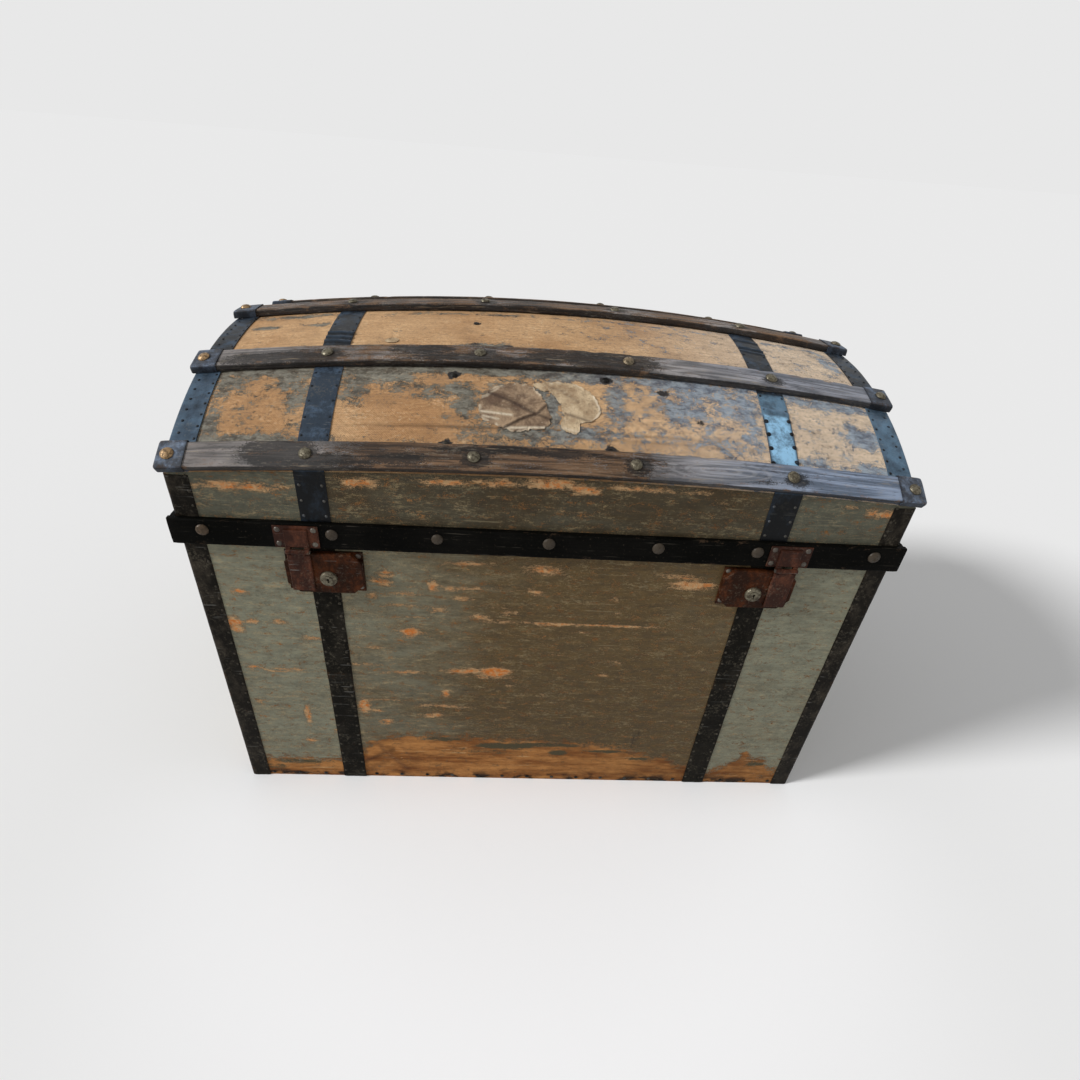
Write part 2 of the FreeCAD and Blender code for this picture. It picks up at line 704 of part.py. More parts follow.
# ---- hasp ------------------------------------------------------------------------------------
def hasp_plate():
    """Right hasp plate on the front batten: riveted base, raised pad, two knuckles."""
    z0 = rim_z + hasp_plate_gap
    face = -rim_y
    base = block(hasp_x - hasp_plate_w / 2, hasp_x + hasp_plate_w / 2, face - hasp_plate_t, face,
                 z0, z0 + hasp_plate_h)
    pad = block(hasp_x - hasp_w / 2, hasp_x + hasp_w / 2, face - hasp_plate_t - hasp_pad_t, face - 0.5,
                z0 + 1.5, z0 + 1.5 + hasp_pad_h)
    pad = pad.makeChamfer(1.2, [e for e in pad.Edges
                                if all(abs(v.Y - (face - hasp_plate_t - hasp_pad_t)) < 1e-6
                                       for v in e.Vertexes)])
    parts = [base, pad]
    for side in (-1, 1):
        x_out, x_in = hasp_x + side * hasp_w / 2, hasp_x + side * (hasp_neck_w / 2 + hinge_gap)
        x0, x1 = min(x_out, x_in), max(x_out, x_in)
        parts.append(rod(hasp_knuckle_r, vec(x0, hasp_pin_y, hasp_pin_z), vec(x1, hasp_pin_y, hasp_pin_z)))
        parts.append(block(x0, x1, hasp_pin_y, face - 0.1, hasp_pin_z, z0 + 2.0))
    bore = rod(hasp_pin_r, vec(hasp_x - hasp_w, hasp_pin_y, hasp_pin_z),
               vec(hasp_x + hasp_w, hasp_pin_y, hasp_pin_z))
    return fused(parts).cut(bore)


def hasp():
    """Right hasp: a leaf that swings on its pin, with the staple on its back."""
    back, front = hasp_leaf_back, hasp_leaf_back - hasp_leaf_t
    half = hasp_w / 2
    leaf = block(hasp_x - half, hasp_x + half, front, back, hasp_leaf_end, hasp_pin_z - hasp_shoulder)
    leaf = leaf.makeChamfer(1.0, [e for e in leaf.Edges if all(abs(v.Y - front) < 1e-6 for v in e.Vertexes)])
    neck_half = hasp_neck_w / 2
    neck = block(hasp_x - neck_half, hasp_x + neck_half, front, back, hasp_pin_z - hasp_shoulder - 1,
                 hasp_pin_z)
    knuckle = rod(hasp_knuckle_r, vec(hasp_x - neck_half, hasp_pin_y, hasp_pin_z),
                  vec(hasp_x + neck_half, hasp_pin_y, hasp_pin_z))
    deep = -skin_y - staple_reach
    staple = block(hasp_x - staple_w / 2, hasp_x + staple_w / 2, back - 0.5, deep, staple_z0, staple_z1)
    eye = block(hasp_x - staple_w, hasp_x + staple_w, deep - staple_back - staple_eye, deep - staple_back,
                staple_z0 + staple_bar, staple_z1 - staple_bar)
    bore = rod(hasp_pin_r + fit_play, vec(hasp_x - half, hasp_pin_y, hasp_pin_z),
               vec(hasp_x + half, hasp_pin_y, hasp_pin_z))
    return fused([leaf, neck, knuckle, staple]).cut(eye).cut(bore)


def headed_pin(radius, head_r, head_t, x0, x1, y, z):
    """A hinge pin with a thin head on each end."""
    return fused([rod(radius, vec(x0, y, z), vec(x1, y, z)),
                  rod(head_r, vec(x0 - head_t, y, z), vec(x0, y, z)),
                  rod(head_r, vec(x1, y, z), vec(x1 + head_t, y, z))])


def pair(shape):
    """A right piece and its mirror image as one group of two solids, the left one first."""
    return Part.makeCompound([mirrored(shape), shape])


def hasp_pins():
    half = hasp_w / 2
    return pair(headed_pin(hasp_pin_r, hasp_head_r, hasp_head_t, hasp_x - half, hasp_x + half,
                           hasp_pin_y, hasp_pin_z))


# ---- hinges ----------------------------------------------------------------------------------
def hinge_spans(own):
    """X ranges of one leaf's knuckles: even ones are the body's, odd ones the lid's."""
    step = hinge_w / hinge_knuckles
    start = hinge_x - hinge_w / 2
    spans = []
    for k in range(hinge_knuckles):
        if (k % 2 == 0) == own:
            spans.append((start + k * step, start + (k + 1) * step))
    return spans


def hinge_leaf(own, z0, z1):
    """A right hinge leaf: flat on the back wall, rolled into its knuckles at the rim."""
    leaf = block(hinge_x - hinge_w / 2, hinge_x + hinge_w / 2, skin_y, skin_y + hinge_leaf_t, z0, z1)
    parts = [leaf]
    for a, b in hinge_spans(own):
        parts.append(rod(hinge_knuckle_r, vec(a + hinge_gap / 2, hinge_axis_y, hinge_axis_z),
                         vec(b - hinge_gap / 2, hinge_axis_y, hinge_axis_z)))
    whole = fused(parts)
    for a, b in hinge_spans(not own):
        whole = whole.cut(rod(hinge_knuckle_r + 0.4, vec(a - hinge_gap / 2, hinge_axis_y, hinge_axis_z),
                              vec(b + hinge_gap / 2, hinge_axis_y, hinge_axis_z)))
    radius = hinge_pin_r if own else hinge_pin_r + fit_play
    return whole.cut(rod(radius, vec(hinge_x - hinge_w, hinge_axis_y, hinge_axis_z),
                         vec(hinge_x + hinge_w, hinge_axis_y, hinge_axis_z)))


def hinge_pins():
    half = hinge_w / 2
    return pair(headed_pin(hinge_pin_r, hinge_head_r, hinge_head_t, hinge_x - half, hinge_x + half,
                           hinge_axis_y, hinge_axis_z))


# ---- handles ---------------------------------------------------------------------------------
def handle_pivot_x():
    return skin_x + handle_plate_t + handle_out


def handle_plate():
    """Right handle plate with two lugs that take the handle's trunnions."""
    x0, x1 = skin_x, skin_x + handle_plate_t
    z0 = handle_z - handle_plate_h / 2
    plate = block(x0, x1, -handle_plate_w / 2, handle_plate_w / 2, z0, z0 + handle_plate_h)
    plate = plate.makeFillet(handle_plate_r, [e for e in plate.Edges
                                              if abs(e.tangentAt(e.FirstParameter).x) > 0.9])
    parts = [plate]
    for side in (-1, 1):
        y0 = side * lug_y - lug_w / 2
        parts.append(block(x1 - 0.5, handle_pivot_x(), y0, y0 + lug_w, handle_z - lug_r, handle_z + lug_r))
        parts.append(rod(lug_r, vec(handle_pivot_x(), y0, handle_z),
                         vec(handle_pivot_x(), y0 + lug_w, handle_z)))
    bore = rod(handle_trunnion_r + fit_play, vec(handle_pivot_x(), -lug_y - lug_w, handle_z),
               vec(handle_pivot_x(), lug_y + lug_w, handle_z))
    return fused(parts).cut(bore)


def handle():
    """Right bail: two arms, a grip and trunnions turned out into the lugs, hanging down."""
    x, zp, zg = handle_pivot_x(), handle_z, handle_z - handle_drop
    y, b = handle_arm_y, handle_bend
    diag = b * (1 - math.cos(math.radians(45)))
    top = b * 0.5
    path = Part.Wire([
        line(vec(x, -y, zp + top), vec(x, -y, zg + b)),
        arc(vec(x, -y, zg + b), vec(x, -y + diag, zg + diag), vec(x, -y + b, zg)),
        line(vec(x, -y + b, zg), vec(x, y - b, zg)),
        arc(vec(x, y - b, zg), vec(x, y - diag, zg + diag), vec(x, y, zg + b)),
        line(vec(x, y, zg + b), vec(x, y, zp + top))])
    section = Part.Wire([Part.makeCircle(handle_bar_r, vec(x, -y, zp + top), Z)])
    bail = path.makePipeShell([section], True, False)
    parts = [bail]
    for side in (-1, 1):
        parts.append(rod(handle_trunnion_r, vec(x, side * y, zp),
                         vec(x, side * (lug_y + lug_w / 2 + 1.5), zp)))
        parts.append(rod(handle_trunnion_r + handle_collar, vec(x, side * (lug_y + lug_w / 2 + 0.3), zp),
                         vec(x, side * (lug_y + lug_w / 2 + 2.3), zp)))
    return fused(parts)


# ---- rivets on the fittings ------------------------------------------------------------------
def body_rivets():
    """Round headed screws of locks, hinge leaves and handle plates on the body."""
    right = []
    for x in (case_x0 + case_screw_inset, case_x1 - case_screw_inset):
        for z in (case_z0 + case_screw_inset, case_z1 - case_screw_inset):
            right.append(rivet(vec(x, -skin_y - case_flange, z), -Y))
    for x in (hinge_x - hinge_w / 2 + hinge_screw_x, hinge_x + hinge_w / 2 - hinge_screw_x):
        for z in (rim_z - hinge_leaf_h + hinge_screw_far, rim_z - hinge_screw_near):
            right.append(rivet(vec(x, skin_y + hinge_leaf_t, z), Y))
    end_y = handle_plate_w / 2 - plate_screw_inset
    for y, up in ((-end_y, 0), (-plate_screw_y, plate_screw_up), (plate_screw_y, plate_screw_up), (end_y, 0)):
        right.append(rivet(vec(skin_x + handle_plate_t, y, handle_z + up), X))
    return Part.makeCompound([mirrored(s) for s in right] + right)


def lid_rivets():
    """Round headed rivets of hasp plates and hinge leaves on the lid."""
    right = []
    z_mid = rim_z + hasp_plate_gap + hasp_plate_h / 2
    for sx in (-1, 1):
        for sz in (-1, 1):
            point = vec(hasp_x + sx * hasp_rivet_x, -rim_y - hasp_plate_t, z_mid + sz * hasp_rivet_z)
            right.append(rivet(point, -Y))
    for x in (hinge_x - hinge_w / 2 + hinge_screw_x, hinge_x + hinge_w / 2 - hinge_screw_x):
        for z in (rim_z + hinge_screw_near, rim_z + hinge_leaf_h - hinge_screw_far):
            right.append(rivet(vec(x, skin_y + hinge_leaf_t, z), Y))
    return Part.makeCompound([mirrored(s) for s in right] + right)


# ---- everything ------------------------------------------------------------------------------
def all_pieces():
    pieces = {}
    pieces.update(body_boards())
    pieces["body_canvas"] = canvas_sleeve(0, rim_z).cut(strap_grooves())
    pieces["body_lining"] = body_lining()
    pieces["rim_tongue"] = rim_tongue()
    pieces["body_corner_irons"] = corner_irons(0, rim_z)
    pieces["bottom_tacks"] = bottom_tacks()
    pieces["body_rivets"] = body_rivets()
    pieces.update(lid_walls())
    pieces.update(dome_boards())
    pieces["dome_canvas"] = dome_canvas()
    pieces["lid_wall_canvas"] = lid_wall_canvas()
    pieces["lid_lining"] = lid_lining()
    pieces["lid_corner_irons"] = corner_irons(rim_z + batten_h + glue, lid_iron_top)
    pieces.update(rim_battens())
    pieces.update(slats())
    pieces["slat_caps"] = slat_caps()
    pieces["lid_nails"] = lid_nails()
    pieces["lid_rivets"] = lid_rivets()
    pieces["hasp_pins"] = hasp_pins()
    pieces["hinge_pins"] = hinge_pins()
    pieces["hinge_body_leaves"] = pair(hinge_leaf(True, rim_z - hinge_leaf_h, rim_z - 0.1))
    pieces["hinge_lid_leaves"] = pair(hinge_leaf(False, rim_z + 0.1, rim_z + hinge_leaf_h))
    pieces["lock_bosses"] = pair(lock_boss())
    two_sided = {"body_strap": body_strap, "lid_strap": lid_strap, "dome_edge_iron": dome_edge_iron,
                 "lock_case": lock_case, "lock_barrel": lock_barrel, "lock_bolt": lock_bolt,
                 "hasp_plate": hasp_plate, "hasp": hasp, "handle_plate": handle_plate, "handle": handle}
    for name, make in two_sided.items():
        right = make()
        pieces[name + "_right"] = right
        pieces[name + "_left"] = mirrored(right)
    return pieces


os.makedirs("parts", exist_ok=True)
for node, shape in sorted(all_pieces().items()):
    shape.exportStep(os.path.join("parts", node + ".step"))
    print(node, len(shape.Solids), round(shape.Volume / 1000.0, 2), shape.isValid())
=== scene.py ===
# %% [markdown]
# # Dressing a dome top trunk
# The solids of the trunk come from its CAD model and stay where they are. This lesson lays the surface
# on them: painted canvas that has flaked, cloth rubbed bare on the dome, oak slats, japanned iron,
# brass nails. Each piece is a surface worked out with numpy, and each finish is a tree of shader nodes.

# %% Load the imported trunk
import math
from functools import partial

import bmesh
import bpy
import numpy as np
from mathutils import Matrix, Vector


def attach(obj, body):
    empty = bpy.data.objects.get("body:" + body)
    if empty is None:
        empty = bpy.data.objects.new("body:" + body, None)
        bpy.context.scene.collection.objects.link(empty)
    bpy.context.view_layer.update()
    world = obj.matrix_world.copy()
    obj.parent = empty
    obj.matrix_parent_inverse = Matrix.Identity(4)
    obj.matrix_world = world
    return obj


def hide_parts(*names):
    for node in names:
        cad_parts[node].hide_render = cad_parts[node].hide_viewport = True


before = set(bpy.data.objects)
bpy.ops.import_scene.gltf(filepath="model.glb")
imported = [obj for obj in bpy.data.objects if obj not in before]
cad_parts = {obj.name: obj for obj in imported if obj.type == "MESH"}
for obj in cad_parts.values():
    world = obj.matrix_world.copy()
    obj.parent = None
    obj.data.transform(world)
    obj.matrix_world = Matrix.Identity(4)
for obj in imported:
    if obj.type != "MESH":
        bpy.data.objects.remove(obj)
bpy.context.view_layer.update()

# %% [markdown]
# ## The camera
# The trunk is seen from above and a little from its left, and the camera is held slightly crooked.
# Three turns and one point fix it, and a small lens shift sets where the trunk lies in the frame.
# The camera could be aimed at a point on the trunk, but then it could not be crooked. Pitch, yaw and
# roll are given instead, because each can be set by itself.

# %% Camera
FRAME, FOCAL, SHIFT = 1080, 616, (5, 23)  # in pixels: side of the frame, focal length, lens shift
SENSOR = 36.0
PITCH, YAW, ROLL = (math.radians(a) for a in (34.36, 4.13, 4.60))
EYE = (-0.0539, -0.8348, 0.7728)

ahead = np.array([math.sin(YAW) * math.cos(PITCH), math.cos(YAW) * math.cos(PITCH), -math.sin(PITCH)])
level = np.array([math.cos(YAW), -math.sin(YAW), 0.0])
upright = np.cross(level, ahead)
right = math.cos(ROLL) * level + math.sin(ROLL) * upright
top = -math.sin(ROLL) * level + math.cos(ROLL) * upright
turned = np.stack([right, top, -ahead], 1)

camera = bpy.data.objects.new("camera", bpy.data.cameras.new("camera"))
bpy.context.scene.collection.objects.link(camera)
camera.matrix_world = Matrix([(*row, eye) for row, eye in zip(turned, EYE)] + [(0, 0, 0, 1)])
camera.data.sensor_width = SENSOR
camera.data.lens = FOCAL / FRAME * SENSOR
camera.data.shift_x, camera.data.shift_y = (shift / FRAME for shift in SHIFT)
camera.data.clip_start, camera.data.clip_end = 0.01, 400.0
bpy.context.scene.camera = camera
print("camera at", EYE, "lens %.2f mm" % camera.data.lens)

# %% [markdown]
# ## Numbers of the trunk
# All lengths are metres. The dome could be bent from a flat grid by a modifier, but everything on it
# has to follow it exactly. So it is a formula: an arch whose height changes along the trunk, with
# edge height, radius and centre worked out at each x from how far x is from the middle.

# %% Sizes, and the shape of the dome
MM = 0.001
SKIN_X, SKIN_Y, RIM = 392 * MM, 269 * MM, 396 * MM  # outer faces of the cloth, and the rim's height
WALL_RISE, END_RISE, DOME_HALF = 80.5 * MM, 86 * MM, 400 * MM
EDGE_CROWN, TOP_CROWN = 13.7 * MM, 30 * MM
STRAP_X, STRAP_W, IRON = 247.1 * MM, 31 * MM, 0.8 * MM
BATTEN_TOP = RIM + 31.2 * MM
SLAT_Y = np.array([-256.9, -137.75, 0.0, 137.75, 256.9]) * MM
SLAT_LOW, SLAT_HIGH, SLAT_HALF, SLAT_END = 1.1 * MM, 9.1 * MM, 15 * MM, 395.4 * MM
SLAT_NAIL_X = np.array([-82.9, -250.1, -385.0, 82.9, 250.1, 385.0]) * MM
SIDES = ((-1, "left"), (1, "right"))


def together(*values):
    """Numbers or arrays, spread to one shape and stacked as the coordinates of points."""
    return np.stack(np.broadcast_arrays(*values), -1)


def walked_along(places):
    """The distance walked along a row of places, from the first to each of them."""
    return np.concatenate([[0], np.cumsum(np.linalg.norm(np.diff(places, axis=0), axis=1))])


def unit(vectors):
    """Each vector divided by its length."""
    return vectors / np.linalg.norm(vectors, axis=-1, keepdims=True)


def arch(x):
    """Edge height, radius and centre height of the arch at x; the crown falls off with x squared."""
    crown = 1 - (np.asarray(x) / DOME_HALF) ** 2
    edge = RIM + WALL_RISE + EDGE_CROWN * crown
    rise = END_RISE + (TOP_CROWN - EDGE_CROWN) * crown
    radius = (SKIN_Y ** 2 + rise ** 2) / (2 * rise)
    return edge, radius, edge + rise - radius


def on_dome(x, angle, lift):
    """The point at x, at an angle from upright round the arch's centre, and lift above the cloth."""
    _, radius, centre = arch(x)
    r = radius + lift
    return together(x, r * np.sin(angle), centre + r * np.cos(angle))


def dome_angle(x, y):
    """The angle at which the cloth is y deep: the arc sine of y over the radius."""
    return np.arcsin(np.clip(y / arch(x)[1], -1, 1))


def ripple(seed, size, *axes):
    """A smooth random value between about -1 and 1: ten sine waves of random direction, added up."""
    rng = np.random.default_rng(seed)
    turns = rng.normal(size=(10, len(axes))) * 2 * math.pi / size
    phase = rng.uniform(0, 2 * math.pi, 10)
    total = sum(np.sin(sum(t * a for t, a in zip(turn, axes)) + p) for turn, p in zip(turns, phase))
    return total / math.sqrt(20)


def step(value, low, high):
    """0 below low, 1 above high, and between them the smooth S of 3 t squared less 2 t cubed."""
    t = np.clip((value - low) / (high - low), 0, 1)
    return t * t * (3 - 2 * t)


def band(value, low, high, soft):
    """1 between low and high, and 0 beyond, with a rise and a fall that are soft long."""
    return step(value, low, low + soft) * (1 - step(value, high, high + soft))


def at_edge(value, half, reach):
    """1 at a strip's edges, half its width from the middle, and 0 from reach further in."""
    return step(np.abs(value), half - reach, half)


def bell(value, width):
    """A bell curve: 1 where the value is 0, and e to the power of minus one at width from there."""
    return np.exp(-(value / width) ** 2)


print("ridge at %.3f m, dome edge at %.3f m" % (on_dome(0.0, 0.0, 0.0)[2], arch(0.0)[0]))

# %% [markdown]
# ## From points to meshes
# A shape is kept as points, faces, a flat position for each point (where the cloth lay before it was
# bent) and layers of values such as wear. A slab joins two matching grids along their borders. A bar
# carries a closed outline along a path. Both come out closed, and are turned so faces look outwards.
# Cubes and cylinders would be quicker to add, but they have too few points to carry wear.

# %% Mesh helpers
SHARP = math.radians(40)  # faces that meet at more than this keep a crisp edge


def grid_faces(rows, cols, wrap=False):
    """Quads between the neighbours of a grid; wrap joins the last column to the first."""
    r = np.arange(rows - 1)[:, None]
    c = np.arange(cols if wrap else cols - 1)[None, :]
    near = (c + 1) % cols
    quads = [r * cols + c, (r + 1) * cols + c, (r + 1) * cols + near, r * cols + near]
    return np.stack(quads, -1).reshape(-1, 4)


def outward(points, faces):
    """Turns every face round if the signed volume is negative: the sum, over the triangles, of the
    first corner times the cross product of the others."""
    volume = 0.0
    for block in faces:
        corner = points[block]
        for k in range(1, block.shape[1] - 1):
            volume += np.einsum("ij,ij->i", corner[:, 0], np.cross(corner[:, k], corner[:, k + 1])).sum()
    return [block[:, ::-1] for block in faces] if volume < 0 else faces


def slab(over, under, flat, **layers):
    """A plate from two matching grids, over and under, closed along the four borders."""
    rows, cols = over.shape[:2]
    count = rows * cols
    index = np.arange(count).reshape(rows, cols)
    quads = grid_faces(rows, cols)
    ring = np.concatenate([index[:-1, 0], index[-1, :-1], index[:0:-1, -1], index[0, :0:-1]])
    ahead_of = np.roll(ring, -1)
    side = np.stack([ahead_of, ring, ring + count, ahead_of + count], -1)
    points = np.concatenate([over.reshape(-1, 3), under.reshape(-1, 3)])
    return {"points": points, "faces": outward(points, [quads, quads[:, ::-1] + count, side]),
            "flat": np.tile(flat.reshape(-1, 2), (2, 1)),
            "layers": {k: np.tile(np.broadcast_to(v, (rows, cols)).ravel(), 2) for k, v in layers.items()}}


def bar(rings, flat, **layers):
    """A bar from rings of points (places, outline, 3), with a flat lid on both ends."""
    rows, cols = rings.shape[:2]
    points = rings.reshape(-1, 3)
    lids = np.stack([np.arange(cols)[::-1], np.arange(cols) + (rows - 1) * cols])
    return {"points": points, "faces": outward(points, [grid_faces(rows, cols, wrap=True), lids]),
            "flat": np.asarray(flat).reshape(-1, 2),
            "layers": {k: np.broadcast_to(v, (rows, cols)).ravel() for k, v in layers.items()}}


def make(name, shapes, body, finish, replaces=(), weld=False):
    """Joins shapes into one object that rides on a body and wears one finish."""
    points, loops, totals, flat, start = [], [], [], [], 0
    for s in shapes:
        for block in s["faces"]:
            loops.append((block + start).ravel())
            totals.append(np.full(len(block), block.shape[1]))
        points.append(s["points"])
        flat.append(s["flat"])
        start += len(s["points"])
    points, loops, totals, flat = map(np.concatenate, (points, loops, totals, flat))
    mesh = bpy.data.meshes.new(name)
    mesh.vertices.add(len(points))
    mesh.vertices.foreach_set("co", points.astype(np.float32).ravel())
    mesh.loops.add(len(loops))
    mesh.loops.foreach_set("vertex_index", loops.astype(np.int32))
    mesh.polygons.add(len(totals))
    mesh.polygons.foreach_set("loop_start", np.concatenate([[0], np.cumsum(totals)[:-1]]).astype(np.int32))
    mesh.update(calc_edges=True)
    mesh.validate()
    mesh.uv_layers.new(name="cloth").data.foreach_set("uv", flat[loops].astype(np.float32).ravel())
    for key in sorted({k for s in shapes for k in s["layers"]}):
        values = np.concatenate([s["layers"].get(key, np.zeros(len(s["points"]))) for s in shapes])
        mesh.attributes.new(key, "FLOAT", "POINT").data.foreach_set("value", values.astype(np.float32))
    if weld:
        merge_doubles(mesh)
    mesh.shade_smooth()
    mesh.set_sharp_from_angle(angle=SHARP)
    piece = bpy.data.objects.new(name, mesh)
    bpy.context.scene.collection.objects.link(piece)
    mesh.materials.append(finish)
    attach(piece, body)
    if replaces:
        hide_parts(*replaces)
    print("%-22s %6d faces, rides on %s" % (name, len(totals), body))
    return piece


def merge_doubles(mesh):
    """Welds points that lie on each other, where a grid meets itself round a ring."""
    work = bmesh.new()
    work.from_mesh(mesh)
    bmesh.ops.remove_doubles(work, verts=work.verts, dist=1e-6)
    work.to_mesh(mesh)
    work.free()

# %% [markdown]
# ## A bench for shader nodes
# Trees of nodes are long to write out by hand. These short helpers add a node, join what it is given
# and return its output, so that a finish reads like a recipe. A new node goes into the tree that its
# inputs lie in, so the tree itself is named only where a recipe starts. Colours are written as they
# are seen on a screen, from 0 to 255.

# %% Node helpers
def tint(red, green, blue):
    """A colour as it is seen on a screen, turned into the linear light that shaders use."""
    seen = np.array([red, green, blue]) / 255
    linear = np.where(seen <= 0.04045, seen / 12.92, ((seen + 0.055) / 1.055) ** 2.4)
    return (*map(float, linear), 1.0)


def join(socket, value):
    """Links an output to a socket, or sets the socket's own value; three numbers are a seen colour."""
    if isinstance(value, bpy.types.NodeSocket):
        socket.id_data.links.new(value, socket)
    elif socket.type == "RGBA" and len(value) == 3:
        socket.default_value = tint(*value)
    else:
        socket.default_value = value


def node(tree, kind, inputs, **settings):
    """Adds a node, with its settings and with its inputs by name or number."""
    made = tree.nodes.new("ShaderNode" + kind)
    for key, value in settings.items():
        setattr(made, key, value)
    for key, value in inputs.items():
        join(made.inputs[key], value)
    return made


def after(kind, inputs, **settings):
    """Adds a node to the tree that its inputs come from."""
    tree = next(value.id_data for value in inputs.values() if isinstance(value, bpy.types.NodeSocket))
    return node(tree, kind, inputs, **settings)


def calc(operation, a, b=0.0, c=0.0):
    """One step of arithmetic on up to three values."""
    return after("Math", {0: a, 1: b, 2: c}, operation=operation).outputs[0]


plus, minus, times, times_plus, larger = (
    partial(calc, operation) for operation in ("ADD", "SUBTRACT", "MULTIPLY", "MULTIPLY_ADD", "MAXIMUM"))


def smooth(value, low, high, start=0.0, end=1.0):
    """Goes from start to end in a smooth S while the value goes from low to high."""
    inputs = {0: value, 1: low, 2: high, 3: start, 4: end}
    return after("MapRange", inputs, interpolation_type="SMOOTHSTEP").outputs[0]


def mix(share, first, second):
    """Goes from the first colour to the second while share goes from 0 to 1."""
    return after("Mix", {0: share, 6: first, 7: second}, data_type="RGBA").outputs[2]


def coats(colour, *rows):
    """Lays coats over a colour, one after the other; a row is a mask, how much it hides, and a colour."""
    for mask, share, over in rows:
        colour = mix(times(mask, share), colour, over)
    return colour


def shade(colour, factor):
    """A colour made lighter or darker by a factor round 1."""
    return after("VectorMath", {0: colour, 3: factor}, operation="SCALE").outputs[0]


def scaled(vector, x, y, z):
    """A place multiplied along each axis, which makes noise finer along that axis."""
    return after("VectorMath", {0: vector, 1: (x, y, z)}, operation="MULTIPLY").outputs[0]


def cloud(vector, scale, detail=4.0, roughness=0.55, distortion=0.0):
    """Noise with one scale, or with three: along x, along y and along z."""
    if isinstance(scale, tuple):
        vector, scale = scaled(vector, *scale), 1.0
    inputs = {"Vector": vector, "Scale": scale, "Detail": detail, "Roughness": roughness,
              "Distortion": distortion}
    return after("TexNoise", inputs).outputs[0]


def layer(tree, name):
    """A value that the mesh carries under this name."""
    return node(tree, "Attribute", {}, attribute_name=name).outputs["Fac"]


def place(tree):
    """Places in metres, as the object has them."""
    return node(tree, "TexCoord", {}).outputs["Object"]


def flat_place(tree):
    """Places in metres on the sheet before it was bent."""
    return node(tree, "UVMap", {}, uv_map="cloth").outputs[0]


def split(vector):
    """The three parts of a place."""
    return after("SeparateXYZ", {0: vector}).outputs


def effect(name, inputs, outputs):
    """A shader node group with named inputs and outputs; returns its tree, its inputs and its end."""
    group = bpy.data.node_groups.new(name, "ShaderNodeTree")
    group.interface.new_socket("Place", in_out="INPUT", socket_type="NodeSocketVector")
    for title, value in inputs.items():
        group.interface.new_socket(title, in_out="INPUT", socket_type="NodeSocketFloat").default_value = value
    for title in outputs:
        group.interface.new_socket(title, in_out="OUTPUT", socket_type="NodeSocketFloat")
    print("effect:", name, "gives", outputs)
    return group, group.nodes.new("NodeGroupInput").outputs, group.nodes.new("NodeGroupOutput").inputs


def use(group, **inputs):
    """Places an effect, with its inputs by name, and returns its outputs."""
    made = inputs["Place"].id_data.nodes.new("ShaderNodeGroup")
    made.node_tree = group
    for key, value in inputs.items():
        join(made.inputs[key], value)
    return made.outputs


def coat(name, build):
    """A material: build lays out the tree and returns colour, roughness, height, and set values."""
    material = bpy.data.materials.new(name)
    material.use_nodes = True
    tree = material.node_tree
    shader = tree.nodes["Principled BSDF"]
    made = build(tree)
    depth = made.pop("depth", 0.5)
    height = made.pop("height", None)
    for key, value in made.items():
        join(shader.inputs[key.replace("_", " ")], value)
    if height is not None:
        bump = after("Bump", {"Strength": 1.0, "Distance": depth * MM, "Height": height})
        join(shader.inputs["Normal"], bump.outputs[0])
    print("finish:", name)
    return material

# %% [markdown]
# ## Effects that several finishes share
# Weave, wood grain, flaking, patina and grit return masks and heights only. Their nodes could be
# laid out anew in each finish. Each is a node group instead: it is built once and placed in every
# finish that needs it, with its own values.

# %% [markdown]
# ### Weave
# Cloth is two sets of threads that pass over and under each other. An image of cloth would repeat
# itself, so each set is a sine wave, and the two are multiplied. Noise along one set makes slubs,
# the places where a thread was spun too thick.

# %% Weave: two sets of threads that cross
weave, given, sent = effect("weave", {"Threads": 900.0, "Slub": 0.5}, ["Height", "Valley"])
axis = split(given["Place"])
wobble = times(cloud(given["Place"], 60.0, 3.0), 0.004)
turns = times(given["Threads"], 2 * math.pi)
warp = calc("SINE", times(plus(axis[0], wobble), turns))
weft = calc("SINE", times(plus(axis[1], wobble), turns))
slub = cloud(given["Place"], (25.0, 900.0, 25.0), 3.0, 0.6)
thread = times_plus(times(warp, weft), 0.25, 0.5)
uneven = times(minus(slub, 0.5), given["Slub"])
join(sent["Height"], plus(thread, uneven))
join(sent["Valley"], smooth(plus(thread, uneven), 0.62, 0.3))

# %% [markdown]
# ### Grain
# Wood shows long fibres, and broad figure where the rings were cut. The wave texture could draw
# them, but it bends too evenly. So the fibres are noise stretched along the wood, and the figure is
# a sine of a broader noise.

# %% Grain: long fibres, and broad figure along the wood
grain, given, sent = effect("grain", {"Figure": 1.0, "Fibre": 1.0}, ["Shade", "Height"])
stretched = scaled(given["Place"], 3.0, 45.0, 45.0)
broad = cloud(stretched, given["Figure"], 2.0, 0.4, 0.6)
bands = calc("SINE", times(broad, 46.0))
fibre = cloud(scaled(given["Place"], 14.0, 900.0, 900.0), given["Fibre"], 4.0, 0.7)
tone = cloud(given["Place"], (9.0, 160.0, 160.0), 4.0, 0.6)
both = plus(times(fibre, 0.55), times(tone, 0.45))
join(sent["Shade"], times_plus(bands, 0.07, both))
join(sent["Height"], times_plus(bands, 0.05, fibre))

# %% [markdown]
# ### Flaking
# Where a layer has come away its edge is ragged, in large and in small. One noise cut off at a limit
# would leave round blobs. So three noises of different sizes are added to a soft value from the mesh
# and then cut off; the core and the rim of a hole are cut from the same sum.

